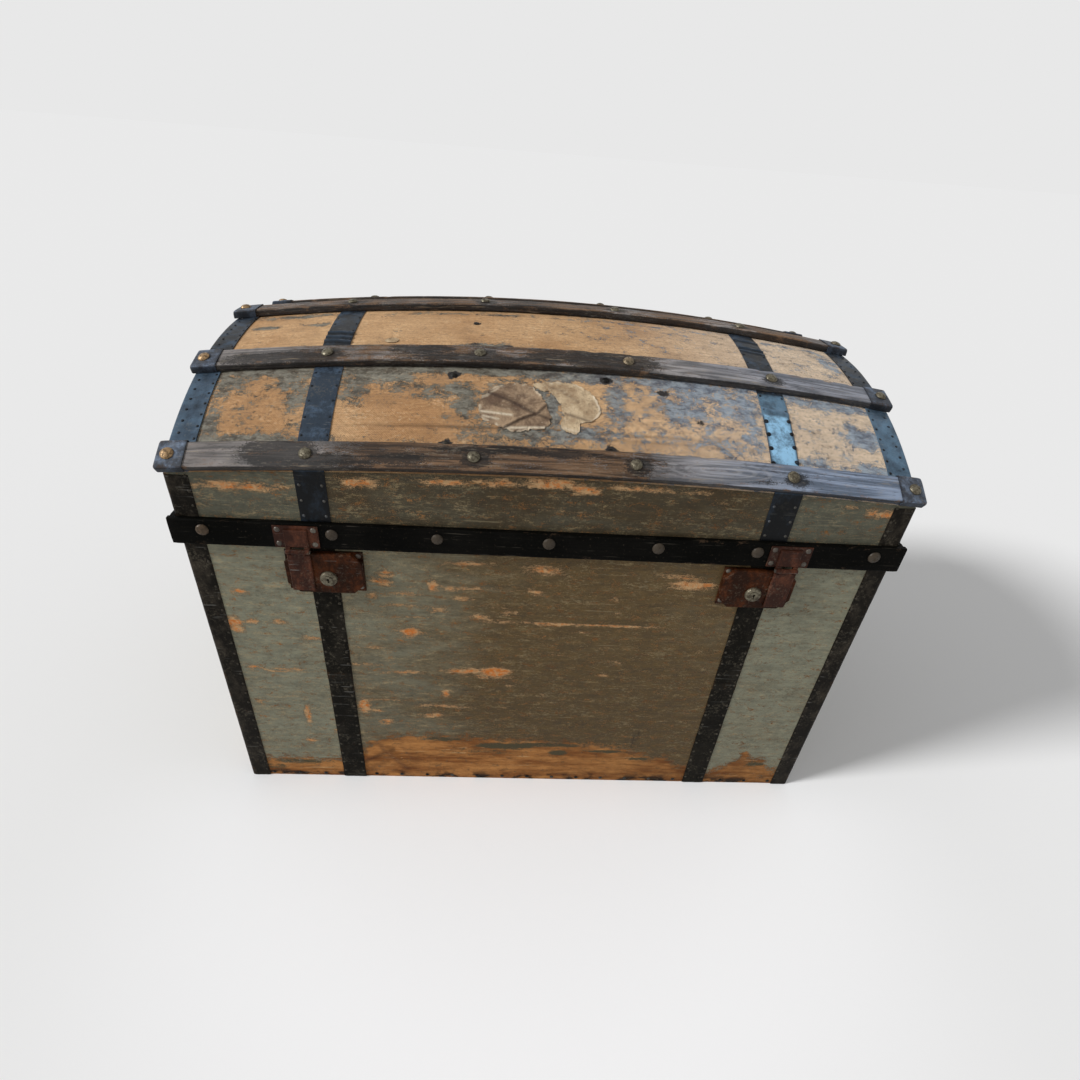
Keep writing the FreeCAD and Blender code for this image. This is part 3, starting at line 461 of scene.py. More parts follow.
# %% Flaking: where a worn layer has come away, from a soft value and broken-up noise
flake, given, sent = effect("flake", {"Amount": 0.5, "Size": 60.0, "Ragged": 1.0, "Speckle": 0.4},
                            ["Mask", "Core", "Rim"])
coarse = cloud(given["Place"], given["Size"], 6.0, 0.68, 0.3)
fine = cloud(given["Place"], times(given["Size"], 5.0), 5.0, 0.72)
speck = cloud(given["Place"], times(given["Size"], 17.0), 2.0, 0.6)
torn = times_plus(minus(coarse, 0.5), 1.5, minus(fine, 0.5))
torn = times_plus(minus(speck, 0.5), given["Speckle"], torn)
edge = times_plus(torn, given["Ragged"], given["Amount"])
join(sent["Mask"], smooth(edge, 0.46, 0.54))
join(sent["Core"], smooth(edge, 0.55, 0.85))
join(sent["Rim"], smooth(calc("ABSOLUTE", minus(edge, 0.47)), 0.09, 0.0))

# %% [markdown]
# ### Patina
# Old surfaces carry broad clouds, specks and thin scratches. Scratches could be drawn one by one, but
# there are hundreds. Noise that is stretched a great deal makes them, and a second noise leaves gaps
# between them.

# %% Patina: broad clouds, small specks and thin scratches
patina, given, sent = effect("patina", {"Size": 8.0}, ["Clouds", "Specks", "Scratches"])
join(sent["Clouds"], cloud(given["Place"], given["Size"], 5.0, 0.6))
specks = cloud(given["Place"], times(given["Size"], 30.0), 3.0, 0.6)
join(sent["Specks"], smooth(specks, 0.62, 0.72))
tilted = after("Mapping", {0: given["Place"], 2: (0.3, 0.5, 0.2), 3: (12.0, 420.0, 420.0)}).outputs[0]
lines = cloud(tilted, 1.0, 2.0, 0.5, 0.6)
gaps = cloud(given["Place"], times(given["Size"], 4.0), 2.0)
join(sent["Scratches"], times(smooth(lines, 0.64, 0.72), smooth(gaps, 0.45, 0.58)))

# %% [markdown]
# ### Grit
# Fine dirt gathers in some places and is rubbed off in others. One noise could do both, but dark and
# light points would then never mix. So there are two fine noises, and a broad one shifts both.

# %% Grit: fine dirt and fine worn points, both thicker in some places than in others
grit, given, sent = effect("grit", {"Size": 300.0}, ["Dark", "Light", "Fine"])
fine = cloud(given["Place"], given["Size"], 6.0, 0.8)
other = cloud(scaled(given["Place"], 0.8, 1.1, 0.9), times(given["Size"], 1.3), 5.0, 0.8)
thick = cloud(given["Place"], times(given["Size"], 0.13), 4.0, 0.7)
more = times(minus(thick, 0.5), 0.5)
join(sent["Dark"], smooth(plus(fine, more), 0.54, 0.66))
join(sent["Light"], smooth(minus(other, more), 0.55, 0.67))
join(sent["Fine"], fine)

# %% [markdown]
# ## Painted canvas
# The walls are covered with canvas that was glued on and painted grey-green. Knocks have chipped the
# paint down to orange ground, and along the bottom the cloth itself is torn off the board. Noise
# alone would spread the wear evenly, and a painted picture would blur near by. So the mesh carries
# how far each place is worn, and noise in the finish makes ragged edges out of that.

# %% Finish of the walls
def wall_paint(tree):
    """Grey-green paint over orange ground over cloth over board, each seen through holes in the last."""
    spot, flat = place(tree), flat_place(tree)
    threads = use(weave, Place=flat, Threads=520.0, Slub=0.9)
    wear = use(patina, Place=spot, Size=7.0)
    dirt = use(grit, Place=scaled(flat, 0.6, 1.0, 1.0), Size=290.0)
    streaks = cloud(flat, (16.0, 150.0, 1.0), 6.0, 0.72)
    mottle = cloud(flat, (55.0, 95.0, 1.0), 6.0, 0.75)
    blotch = cloud(flat, (9.0, 22.0, 1.0), 6.0, 0.7, 0.5)
    yellowed = times_plus(minus(blotch, 0.5), 1.3, layer(tree, "brown"))
    paint = mix(smooth(yellowed, 0.0, 1.0), (122, 122, 104), (88, 70, 41))
    paint = shade(paint, smooth(streaks, 0.25, 0.75, 0.86, 1.12))
    paint = shade(paint, smooth(mottle, 0.3, 0.7, 0.76, 1.22))
    # Darker where the mesh asks: painted shade on the lid wall, and darker towards the bottom of the body's
    # middle panel.
    paint = shade(paint, times_plus(layer(tree, "grime"), -0.55, 1.0))
    leftward = smooth(split(spot)[0], 0.1, -0.25, 0.22, 0.31)
    rub = use(flake, Place=scaled(flat, 0.6, 2.0, 1.0), Amount=leftward, Size=70.0, Ragged=1.1, Speckle=1.0)
    paint = coats(paint, (rub["Mask"], 0.5, (172, 150, 110)), (wear["Scratches"], 0.22, (184, 168, 132)),
                  (dirt["Dark"], 0.42, (46, 42, 32)), (dirt["Light"], 0.24, (176, 162, 126)),
                  (threads["Valley"], 0.25, (48, 44, 34)))
    chips = use(flake, Place=scaled(flat, 0.7, 1.8, 1.0),
                Amount=layer(tree, "bare"), Size=85.0, Ragged=2.1, Speckle=1.2)
    orange = times(smooth(cloud(flat, 90.0, 5.0, 0.7, 0.4), 0.4, 0.58),
                   smooth(layer(tree, "bare"), 0.3, 0.85))
    ground = mix(times(smooth(chips["Core"], 0.2, 1.0), orange), (186, 150, 108), (192, 106, 34))
    ground = shade(ground, smooth(dirt["Fine"], 0.3, 0.7, 0.78, 1.18))
    board = mix(smooth(cloud(flat, (10.0, 60.0, 1.0), 6.0, 0.7), 0.35, 0.65), (112, 66, 28), (170, 118, 66))
    board = shade(board, smooth(mottle, 0.3, 0.7, 0.82, 1.16))
    board = shade(board, smooth(split(spot)[0], -0.05, 0.25, 1.0, 0.76))
    ripped = use(flake, Place=scaled(flat, 0.8, 1.6, 1.0),
                 Amount=layer(tree, "torn"), Size=80.0, Ragged=1.9, Speckle=1.1)
    remains = use(flake, Place=scaled(flat, 0.7, 2.0, 1.0),
                  Amount=layer(tree, "left"), Size=95.0, Ragged=1.1, Speckle=1.1)
    low = smooth(split(flat)[1], 0.022, 0.003)
    stains = smooth(cloud(flat, (38.0, 60.0, 1.0), 3.0), 0.47, 0.6)
    # The board is darkened on one side of each crumple: painted shade.
    board = coats(board, (layer(tree, "crease"), 0.75, (66, 38, 20)), (low, stains, (28, 20, 14)),
                  (dirt["Dark"], 0.3, (60, 38, 22)), (wear["Scratches"], 0.5, (206, 170, 122)))
    board = mix(remains["Mask"], board, (70, 64, 46))
    colour = mix(times(chips["Rim"], 0.3), paint, (64, 52, 34))
    colour = coats(colour, (chips["Mask"], 0.9, ground), (layer(tree, "cut"), 0.85, (34, 28, 20)))
    colour = mix(ripped["Mask"], colour, board)
    colour = coats(colour, (ripped["Rim"], 0.55, (172, 128, 82)))
    worn = larger(chips["Mask"], ripped["Mask"])
    height = times_plus(threads["Height"], 0.45, times(mottle, 0.6))
    height = minus(height, times(worn, 0.8))
    rough = smooth(plus(mottle, times(worn, 0.5)), 0.3, 0.9, 0.5, 0.86)
    return {"Base_Color": colour, "Roughness": rough, "Specular_IOR_Level": 0.2,
            "height": height, "depth": 0.5}


canvas_paint = coat("canvas_paint", wall_paint)

# %% [markdown]
# The cloth could be four sheets, but each corner would then need a joint. So it is one sleeve: a
# long grid that goes round the four walls, with a row for every few millimetres of height, and folds
# over the top and bottom edges to the inside. Where the cloth is torn away the surface sinks to just
# above the board, and the torn lip stands up a little.

# %% Walking round the walls, and wear marks
def ring_path(half_x, half_y, radius, fine=3 * MM, rough=7 * MM):
    """Places round a rectangle with quarter circles at its corners, set closer along the front wall."""
    x, y = half_x - radius, half_y - radius
    runs = [((0, half_y), (-x, half_y), rough), ((-half_x, y), (-half_x, -y), rough),
            ((-x, -half_y), (x, -half_y), fine), ((half_x, -y), (half_x, y), rough),
            ((x, half_y), (0, half_y), rough)]
    centres = [(-x, y), (-x, -y), (x, -y), (x, y)]
    walk = []
    for k, (start, end, pitch) in enumerate(runs):
        walk.append(np.linspace(start, end, int(math.dist(start, end) / pitch) + 2))
        if k < len(centres):
            turn = np.radians(np.linspace(90, 180, 6)[1:-1] + 90 * k)
            walk.append(centres[k] + radius * together(np.cos(turn), np.sin(turn)))
    return np.concatenate(walk)


def marks(x, z, spots):
    """The strongest of soft ellipses at each place. The distance from the middle is counted in half
    sizes; up to a fifth of them an ellipse has its full strength, and from twice them it has none."""
    best = np.zeros(np.broadcast(x, z).shape)
    for cx, cz, rx, rz, strength in spots:
        far = np.hypot((x / MM - cx) / rx, (z / MM - cz) / rz)
        best = np.maximum(best, strength * (1 - step(far, 0.2, 2.0)))
    return best


def sleeve(over, under, flat, **layers):
    """Closes an outer grid (rows from low to high) with two inner rows into one tube of cloth."""
    loop = np.concatenate([over, under[::-1], over[:1]])
    values = {k: np.concatenate([np.broadcast_to(v, over.shape[:2]), np.zeros((2, over.shape[1])),
                                 np.broadcast_to(v, over.shape[:2])[:1]]).ravel() for k, v in layers.items()}
    points = loop.reshape(-1, 3)
    return {"points": points, "faces": outward(points, [grid_faces(*loop.shape[:2])]),
            "flat": np.concatenate([flat, flat[:2], flat[:1]]).reshape(-1, 2), "layers": values}

# %% [markdown]
# The edge of the torn strip and the larger chips each have a shape and a place of their own, and noise can't
# put them there. So they are listed, in millimetres, and noise adds only the small ones. Crumpled cloth is a
# set of folds: ridges along short straight lines.

# %% Where the body's cloth is torn and chipped
# The torn strip's upper edge: x and height, in millimetres
TEAR = np.array([
    (-392, 30), (-370, 36), (-262, 37), (-234, 52), (-210, 80), (-160, 90), (-50, 85), (75, 80), (125, 72),
    (200, 50), (222, 36), (262, 24), (286, 38), (304, 56), (311, 74), (318, 58), (340, 54), (356, 34),
    (392, 28)])
# Painted cloth left on the torn strip, then chips in the paint. Each row gives the middle (x and z),
# half the width and half the height, in millimetres, and the strength.
REMAINS = [
    (-35, 72, 38, 5, 1.1), (42, 60, 12, 5, 1), (-120, 84, 24, 4, 0.9), (20, 76, 60, 4, 0.9),
    (110, 64, 30, 3, 0.8), (330, 44, 14, 5, 0.8), (-320, 30, 40, 5, 0.75), (160, 50, 24, 4, 0.7),
    (-60, 60, 60, 8, 0.45), (-360, 18, 20, 6, 0.6)]
CHIPS = [
    (-347, 330, 9, 4, 0.8), (-360, 281, 8, 12, 1), (-340, 287, 8, 4, 0.8), (-307, 287, 7, 4, 0.8),
    (-272, 262, 12, 3, 0.8), (-157, 277, 14, 8, 0.9), (-52, 215, 17, 7, 1.2), (-88, 215, 26, 4, 0.9),
    (-60, 207, 24, 4, 0.8), (-2, 376, 22, 6, 0.9), (-85, 380, 22, 3, 0.8), (-180, 362, 10, 5, 0.8),
    (-127, 347, 6, 9, 0.75), (-100, 345, 16, 4, 0.7), (-155, 335, 14, 3, 0.75), (172, 362, 26, 6, 1.1),
    (160, 373, 22, 4, 0.85), (-10, 344, 12, 4, 0.75), (82, 337, 9, 3, 0.6), (12, 297, 24, 2.5, 0.9),
    (60, 297, 110, 1.8, 0.95), (57, 285, 14, 2, 0.6), (85, 215, 6, 5, 0.7), (-115, 172, 5, 8, 0.8),
    (-297, 131, 4, 17, 0.85), (-132, 132, 14, 4, 0.8), (-222, 147, 8, 12, 0.9), (-205, 138, 10, 3, 0.7),
    (-195, 117, 10, 5, 0.8), (-350, 212, 10, 3, 0.8), (-305, 210, 20, 2.5, 0.75), (-330, 206, 20, 2, 0.7),
    (275, 227, 9, 2, 0.55), (165, 185, 12, 2, 0.55), (-262, 96, 6, 5, 0.7), (-300, 76, 8, 5, 0.7),
    (-355, 150, 6, 4, 0.6), (-40, 150, 5, 4, 0.5), (10, 176, 5, 4, 0.55), (-170, 210, 26, 3, 0.7),
    (-120, 150, 34, 3, 0.65), (330, 150, 14, 2, 0.45), (200, 262, 6, 6, 0.5), (-150, 300, 30, 1.5, 0.55),
    (-50, 300, 40, 1.5, 0.5), (-186, 352, 12, 5, 0.75), (-196, 330, 7, 4, 0.7), (-170, 318, 20, 2, 0.6),
    (-125, 312, 14, 3, 0.62), (-96, 331, 12, 3, 0.65), (-75, 346, 14, 3, 0.65), (-72, 305, 10, 4, 0.65),
    (-40, 312, 12, 4, 0.65), (90, 318, 6, 4, 0.6), (62, 285, 8, 2, 0.6), (30, 247, 14, 2, 0.5),
    (-215, 222, 24, 2, 0.65), (-238, 168, 8, 6, 0.75), (-180, 160, 30, 2, 0.62), (-35, 190, 5, 4, 0.6),
    (100, 237, 10, 3, 0.65), (-180, 345, 30, 2, 0.5), (-60, 345, 40, 2, 0.5), (-130, 318, 20, 2, 0.55),
    (-200, 250, 20, 2, 0.5), (-60, 320, 30, 1.5, 0.5)]
CUTS = [(145, 90, 1.4, 16, 1.0), (150, 104, 1.2, 8, 0.8)]
BETWEEN_STRAPS = 246 * MM
# Start, end (x and z, in millimetres) and strength of each crumple in the torn cloth
FOLDS = [
    ((-228, 40), (-198, 60), 0.9), ((-198, 60), (-172, 26), 0.8), ((-206, 80), (-198, 60), 0.7),
    ((-172, 66), (-158, 40), 0.5), ((-222, 26), (-206, 34), 0.5)]


def folds(x, z, lines, reach):
    """Ridges along straight lines: the height is the strongest bell curve of the distance from a line.
    The second value is a bell curve too, but one reach to the side, so that this side can carry painted
    shade."""
    tall, shady = np.zeros((2, *np.broadcast(x, z).shape))
    for start, end, strength in lines:
        a, run = np.array(start) * MM, (np.array(end) - start) * MM
        t = np.clip(((x - a[0]) * run[0] + (z - a[1]) * run[1]) / (run @ run), 0, 1)
        dx, dz = x - a[0] - t * run[0], z - a[1] - t * run[1]
        away = np.hypot(dx, dz)
        tall = np.maximum(tall, strength * bell(away, reach))
        side = (dx * run[1] - dz * run[0]) / np.linalg.norm(run)
        shady = np.maximum(shady, strength * bell(side - reach, reach) * (away < 2.5 * reach))
    return tall, shady


ROUNDED = 5.5 * MM  # radius of the cloth's upright corners
around = ring_path(SKIN_X, SKIN_Y, ROUNDED)
walked = walked_along(around)
inside = ring_path(SKIN_X - MM, SKIN_Y - MM, ROUNDED - MM)
inside = inside[np.round(np.linspace(0, len(inside) - 1, len(around))).astype(int)]
x, y = around.T
front = y < -SKIN_Y + 2 * MM
outwards = together(np.where(np.abs(x) > SKIN_X - 2 * MM, np.sign(x), 0),
                    np.where(np.abs(y) > SKIN_Y - 2 * MM, np.sign(y), 0))


def wall_cloth(name, body, solid, z, sink, raised=False, **layers):
    """A sleeve whose outer grid, at heights z, stands off the walls by sink, in millimetres, and whose two
    inner rows lie against the boards. Where raised, the hem ends higher, to clear a strap."""
    outer = np.empty((*sink.shape, 3))
    outer[..., :2] = around + outwards * sink[..., None] * MM
    outer[..., 2] = z
    outer[0, :, 2] = np.where(raised, 1.0 * MM, outer[0, :, 2])
    inner = np.empty((2, len(around), 3))
    inner[..., :2] = inside
    inner[..., 2] = outer[[0, -1], :, 2]
    cloth = sleeve(outer, inner, together(walked, z), **layers)
    make(name, [cloth], body, canvas_paint, [solid], weld=True)


z = np.linspace(0.15 * MM, RIM, 150)[:, None]
panel = front & (np.abs(x) < BETWEEN_STRAPS)
torn_to = np.where(front, np.interp(x / MM, *TEAR.T), 22 + 8 * ripple(5, 0.12, x, y)) * MM
torn_to = torn_to + 3 * MM * ripple(6, 0.03, x, y)
chipped = 1.3 * marks(x, z, CHIPS) - 0.36 + 0.16 * step(-x, -0.1, 0.15)
flaked = 1.2 * step(ripple(7, 0.05, x, y, z * 2.5), 0.8, 1.5) - 0.34
brown = np.where(panel, 0.36 + 0.68 * step(x, -0.2, 0.02) * (1 - 0.22 * step(x, 0.1, 0.2)), 0.0)
brown = brown + np.where(front, 0.16 * step(-z, -0.34, -0.12), 0.42 + 0.2 * ripple(12, 0.5, x, y, z))
lip = bell(torn_to - z, 3 * MM) * (0.5 + 0.5 * ripple(8, 0.02, x, y))
fold, shady = (front * part for part in folds(x, z, FOLDS, 4.5 * MM))
sink = (-0.62 * step(torn_to - z, -4 * MM, 4 * MM) + 0.3 * lip + 1.5 * fold
        + 0.07 * ripple(9, 0.05, x, y, z) - 0.1)
wall_cloth("body_cloth", "trunk_body", "body_canvas", z, sink,
           raised=np.abs(np.abs(x) - STRAP_X) < STRAP_W / 2 + 1 * MM,
           bare=np.where(front, chipped, flaked), torn=step(torn_to - z, -16 * MM, 16 * MM),
           left=np.where(front, marks(x, z, REMAINS), 0.15), brown=brown, crease=0.85 * shady,
           grime=np.where(panel, 0.3 * step(-z, -0.3, -0.12), 0.0),
           cut=np.where(front, marks(x, z, CUTS), 0.0))

# %% [markdown]
# The lid's walls wear the same cloth. It could be cut off level and hidden by the dome, but its upper
# edge is in sight and bowed. So it follows the underside of the dome: each column of the grid is as
# tall as the arch is at that place.

# %% Lid wall cloth
LID_CHIPS = [
    (-320, 465, 52, 5, 1), (-200, 475, 18, 6, 1.1), (-110, 480, 30, 4, 0.95), (-60, 482, 26, 5, 0.95),
    (0, 484, 34, 6, 1.1), (34, 478, 16, 5, 1.1), (90, 483, 40, 3, 0.9), (150, 482, 20, 3, 0.7),
    (355, 466, 16, 6, 1.1), (320, 472, 14, 3, 0.7), (20, 452, 36, 2, 0.55), (120, 446, 28, 2, 0.5),
    (-150, 444, 20, 2, 0.45), (180, 470, 12, 2, 0.6), (0, 486, 200, 2, 0.5)]
share = np.linspace(0, 1, 44)[:, None]
ceiling = on_dome(x, dome_angle(x, y * 0.9985), -1.2 * MM)[..., 2]
z = RIM + share * (ceiling - RIM)
flaked = 1.2 * step(ripple(17, 0.06, x, y, z * 2.5), 0.8, 1.4)
# The lid wall is made darker, most of all on the front: painted shade under the dome's edge and the first
# slat.
wall_cloth("lid_wall_cloth", "lid", "lid_wall_canvas", z, 0.07 * ripple(19, 0.05, x, y, z) - 0.1,
           bare=np.where(front, 1.2 * marks(x, z, LID_CHIPS), flaked) - 0.38, grime=np.where(front, 1.0, 0.3),
           brown=np.where(front, 0.55 * (np.abs(x) < BETWEEN_STRAPS) + 0.14,
                          0.4 + 0.2 * ripple(12, 0.5, x, y, z)))

# %% [markdown]
# ## The dome's cloth
# On top the paint has been rubbed away to tan cloth. Blue-grey paint is left beside the slats, round the
# scraps of label and in patches. Noise could choose the places too, but then the paint would not sit where
# hands and labels left it. So the patches are ellipses, listed one by one, and their rims are broken up by
# noise, from broad to as fine as the dirt.

# %% Finish of the dome
def rubbed_cloth(tree):
    """Tan cloth, with what is left of the blue-grey paint on it."""
    flat = flat_place(tree)
    threads = use(weave, Place=flat, Threads=430.0, Slub=1.1)
    wear = use(patina, Place=place(tree), Size=6.0)
    dirt = use(grit, Place=scaled(flat, 0.8, 1.0, 1.0), Size=250.0)
    streaks = cloud(flat, (9.0, 130.0, 1.0), 6.0, 0.68)
    rightward = smooth(split(flat)[0], 0.02, 0.32)
    tan = mix(smooth(wear["Clouds"], 0.35, 0.65), (176, 134, 92), (202, 164, 122))
    tan = mix(rightward, tan, (222, 202, 178))
    tan = shade(tan, smooth(streaks, 0.25, 0.75, 0.9, 1.08))
    tan = shade(tan, smooth(dirt["Fine"], 0.34, 0.66, 0.7, 1.24))
    tan = coats(tan, (threads["Valley"], 0.4, (122, 88, 58)),
                (dirt["Dark"], times_plus(rightward, 0.3, 0.55), (80, 70, 64)),
                (dirt["Light"], 0.35, (226, 202, 166)), (layer(tree, "seam"), 0.75, (70, 48, 34)))
    amount = times_plus(minus(0.5, dirt["Fine"]), 0.5, layer(tree, "paint"))
    left = use(flake, Place=scaled(flat, 0.9, 1.2, 1.0), Amount=amount, Size=64.0, Ragged=1.6, Speckle=0.9)
    tone = cloud(flat, (50.0, 90.0, 1.0), 6.0, 0.78)
    blue = smooth(split(flat)[0], -0.08, 0.22)
    low_tone, high_tone = mix(blue, (42, 48, 47), (70, 86, 107)), mix(blue, (122, 124, 115), (148, 164, 178))
    paint = mix(smooth(tone, 0.38, 0.62), low_tone, high_tone)
    paint = coats(paint, (dirt["Dark"], 0.5, (44, 44, 46)), (dirt["Light"], 0.4, (180, 170, 150)))
    dark = use(flake, Place=flat, Amount=layer(tree, "dark"), Size=70.0, Ragged=0.9, Speckle=0.5)
    colour = mix(times(left["Rim"], smooth(blue, 0.7, 0.1, 0.2, 0.5)), tan, (84, 74, 60))
    colour = coats(colour, (left["Mask"], 0.9, paint))
    colour = mix(dark["Mask"], colour, (50, 47, 46))
    height = times_plus(threads["Height"], 0.6, times_plus(left["Mask"], 0.4, times(dirt["Fine"], 0.5)))
    rough = smooth(left["Mask"], 0.0, 1.0, 0.86, 0.56)
    return {"Base_Color": colour, "Roughness": rough, "Specular_IOR_Level": 0.22,
            "height": height, "depth": 0.6}


dome_finish = coat("dome_finish", rubbed_cloth)

# %% [markdown]
# The dome's cloth could be the CAD's own solid with this finish on it, but that has too few points to
# carry paint and spots. So it is a fine grid over length and angle, laid on the arch's formula. It
# swells and sinks by about a tenth of a millimetre, and sinks a little more along an old seam.

# %% Dome cloth: a grid over length and angle
# Patches of blue paint, then dark spots. Each row gives the middle (x and y), half the length and
# half the width, in millimetres, and the strength.
PATCHES = [
    (-190, -158, 40, 14, 1.1), (-215, -178, 16, 22, 0.85), (-150, -150, 60, 8, 0.95),
    (-110, -182, 10, 10, 0.95), (-60, -155, 90, 7, 0.9), (-95, -198, 16, 20, 0.8), (20, -158, 70, 8, 0.95),
    (68, -190, 14, 26, 0.85), (-30, -230, 60, 7, 0.8), (30, -226, 40, 10, 0.75), (-13, -184, 7, 7, 1.2),
    (-4, -197, 7, 13, 1.3), (-1, -212, 6, 9, 1.2), (-40, -200, 58, 34, 0.66), (140, -158, 60, 9, 0.8),
    (165, -168, 70, 14, 0.75), (140, -192, 30, 20, 0.8), (205, -180, 28, 26, 0.8),
    (215, -215, 16, 22, 0.62), (180, -228, 34, 9, 0.55), (345, -200, 24, 16, 0.85),
    (310, -160, 70, 7, 0.75), (285, -235, 24, 6, 0.6), (350, -235, 24, 6, 0.7), (-350, -165, 26, 24, 0.75),
    (-320, -152, 60, 8, 1), (-285, -165, 24, 18, 0.85), (-272, -190, 12, 34, 0.7),
    (-360, -228, 12, 22, 0.9), (-320, -240, 60, 6, 0.85), (-70, -112, 30, 6, 0.8), (0, -122, 120, 4, 0.6),
    (-200, -122, 40, 4, 0.6), (-340, -60, 14, 5, 0.85), (-280, -57, 12, 5, 0.8), (-320, -118, 50, 6, 0.85),
    (-310, -26, 60, 6, 0.7), (330, -118, 60, 5, 0.6), (352, -60, 12, 34, 0.7), (310, -30, 60, 5, 0.6),
    (100, -28, 120, 4, 0.5), (-100, -26, 100, 4, 0.55), (250, -150, 30, 6, 0.8), (310, -200, 70, 60, 0.27),
    (310, -70, 70, 50, 0.24), (170, -200, 80, 45, 0.42), (90, -215, 50, 30, 0.3), (120, -60, 110, 40, 0.24),
    (-330, -200, 50, 50, 0.25), (-160, -180, 36, 8, 0.66), (-132, -187, 20, 9, 0.62)]
SPOTS = [
    (-91, -59, 4, 3, 1.1), (-110, -163, 7, 5, 1), (57, -160, 7, 5, 1), (-113, -243, 7, 5, 1),
    (59, -243, 7, 5, 1), (-90, -108, 8, 3, 0.8), (-55, -112, 9, 3, 0.8), (-70, -28, 30, 3, 0.7),
    (120, -172, 8, 4, 0.7), (160, -205, 6, 3, 0.7)]


def near_slats(y):
    """1 beside a slat and 0 a finger's width away."""
    gap = np.min(np.abs(y[..., None] - SLAT_Y), -1) - SLAT_HALF
    return 1 - step(gap, 0, 12 * MM)


def back_patches(x, y):
    """Random patches for the half of the dome behind the ridge: ripples that pass a limit."""
    return 0.85 * step(ripple(23, 0.09, x, y * 2.2), 0.5, 1.3) + 0.3 * near_slats(y) + 0.12


x = np.linspace(-SKIN_X, SKIN_X, 197)[:, None]
share = np.linspace(-1, 1, 161)[None, :]
limit = np.arcsin(SKIN_Y / arch(x)[1])
angle = share * limit
x = x + 0 * angle
y = arch(x)[1] * np.sin(angle)
paint = np.where(y < 20 * MM, marks(x, y, PATCHES) + 0.2 * near_slats(y), back_patches(x, y))
seam = marks(x, y, [(-60, -226, 190, 0.9, 1.2), (120, -232, 90, 0.8, 0.6), (0, -176, 12, 0.8, 0.4)])
swell = 0.12 * ripple(31, 0.09, x, y) - 0.14 - 0.12 * marks(x, y, [(-60, -226, 190, 2.5, 1)])
flat = together(x, angle * arch(x)[1])
cloth = slab(on_dome(x, angle, swell * MM), on_dome(x, angle, -1.0 * MM), flat,
             paint=paint, dark=marks(x, y, SPOTS), seam=seam)
make("dome_cloth", [cloth], "lid", dome_finish, ["dome_canvas"])

# %% [markdown]
# ## Slats
# Five slats of hard wood run along the dome and bow up with it. Their top edges were rounded with a
# spokeshave and have since been knocked. A straight box could be bent to the bow, but down the slope
# of the dome it would still stand upright. So the outline is carried along the arch, and each point
# of it is turned with the arch; a slat sits square on the cloth all the way.

# %% Finish of the slats
LOOPS_AT, LOOPS_STRETCH = (172 * MM, -3.9 * MM), (15.0, 80.0)


def slat_finish(tree):
    """Dark oak under old paint: grey to blue, with black in places."""
    flat = flat_place(tree)
    lines = use(grain, Place=flat, Figure=1.0, Fibre=1.0)
    wear = use(patina, Place=flat, Size=9.0)
    dirt = use(grit, Place=scaled(flat, 0.3, 1.0, 1.0), Size=330.0)
    wood = mix(smooth(lines["Shade"], 0.35, 0.68), (44, 34, 27), (126, 98, 74))
    blue = use(flake, Place=scaled(flat, 0.35, 1.3, 1.0),
               Amount=layer(tree, "blue"), Size=95.0, Ragged=0.9, Speckle=1.3)
    black = use(flake, Place=scaled(flat, 0.4, 1.3, 1.0),
                Amount=layer(tree, "black"), Size=80.0, Ragged=0.9, Speckle=1.2)
    chipped = use(flake, Place=scaled(flat, 0.35, 1.2, 1.0),
                  Amount=layer(tree, "worn"), Size=110.0, Ragged=1.1, Speckle=1.2)
    tone = smooth(lines["Shade"], 0.38, 0.64, 0.52, 1.34)
    # The first slat turns blue towards its right end: a painted reflection of the sky.
    on_first = smooth(split(flat)[1], 0.45, 0.1)
    reflected_sky = times(smooth(split(flat)[0], 0.05, 0.33), on_first)
    paint = mix(smooth(wear["Clouds"], 0.35, 0.65), (100, 98, 98), (144, 141, 140))
    centre = (LOOPS_STRETCH[0] * LOOPS_AT[0], LOOPS_STRETCH[1] * LOOPS_AT[1], 0.0)
    loops = after("VectorMath", {0: scaled(flat, *LOOPS_STRETCH, 1.0), 1: centre},
                  operation="DISTANCE").outputs["Value"]
    bands = times(smooth(calc("SINE", times(loops, 26.0)), 0.2, 0.9), smooth(loops, 1.15, 0.7))
    lighter = smooth(split(flat)[1], 0.1, 0.3, 1.0, 1.2)
    paint = shade(shade(mix(reflected_sky, paint, (126, 144, 168)), tone), lighter)
    paint = coats(paint, (bands, 0.26, (176, 178, 182)))
    colour = mix(times(blue["Mask"], 0.8), wood, paint)
    # The black coat is old black paint, and painted shade on the slats' sides.
    colour = coats(colour, (black["Mask"], 0.85, shade(tint(30, 28, 27)[:3], tone)),
                   (chipped["Mask"], 0.7, (116, 88, 64)), (dirt["Dark"], 0.45, (32, 28, 25)),
                   (dirt["Light"], 0.3, (158, 148, 132)), (wear["Scratches"], 0.45, (164, 146, 122)))
    height = times_plus(blue["Mask"], 0.3, lines["Height"])
    return {"Base_Color": colour, "Roughness": smooth(lines["Shade"], 0.3, 0.7, 0.48, 0.74),
            "Specular_IOR_Level": 0.2, "height": height, "depth": 0.5}


slat_wood = coat("slat_wood", slat_finish)

# %% [markdown]
# A slat could have its edges rounded by a Bevel modifier, and its knocks carved by hand. Here the
# outline is round at its corners from the start, and a smooth random value presses in the points on
# the two upper edges. So all five slats are worn alike, but none is like its neighbour.

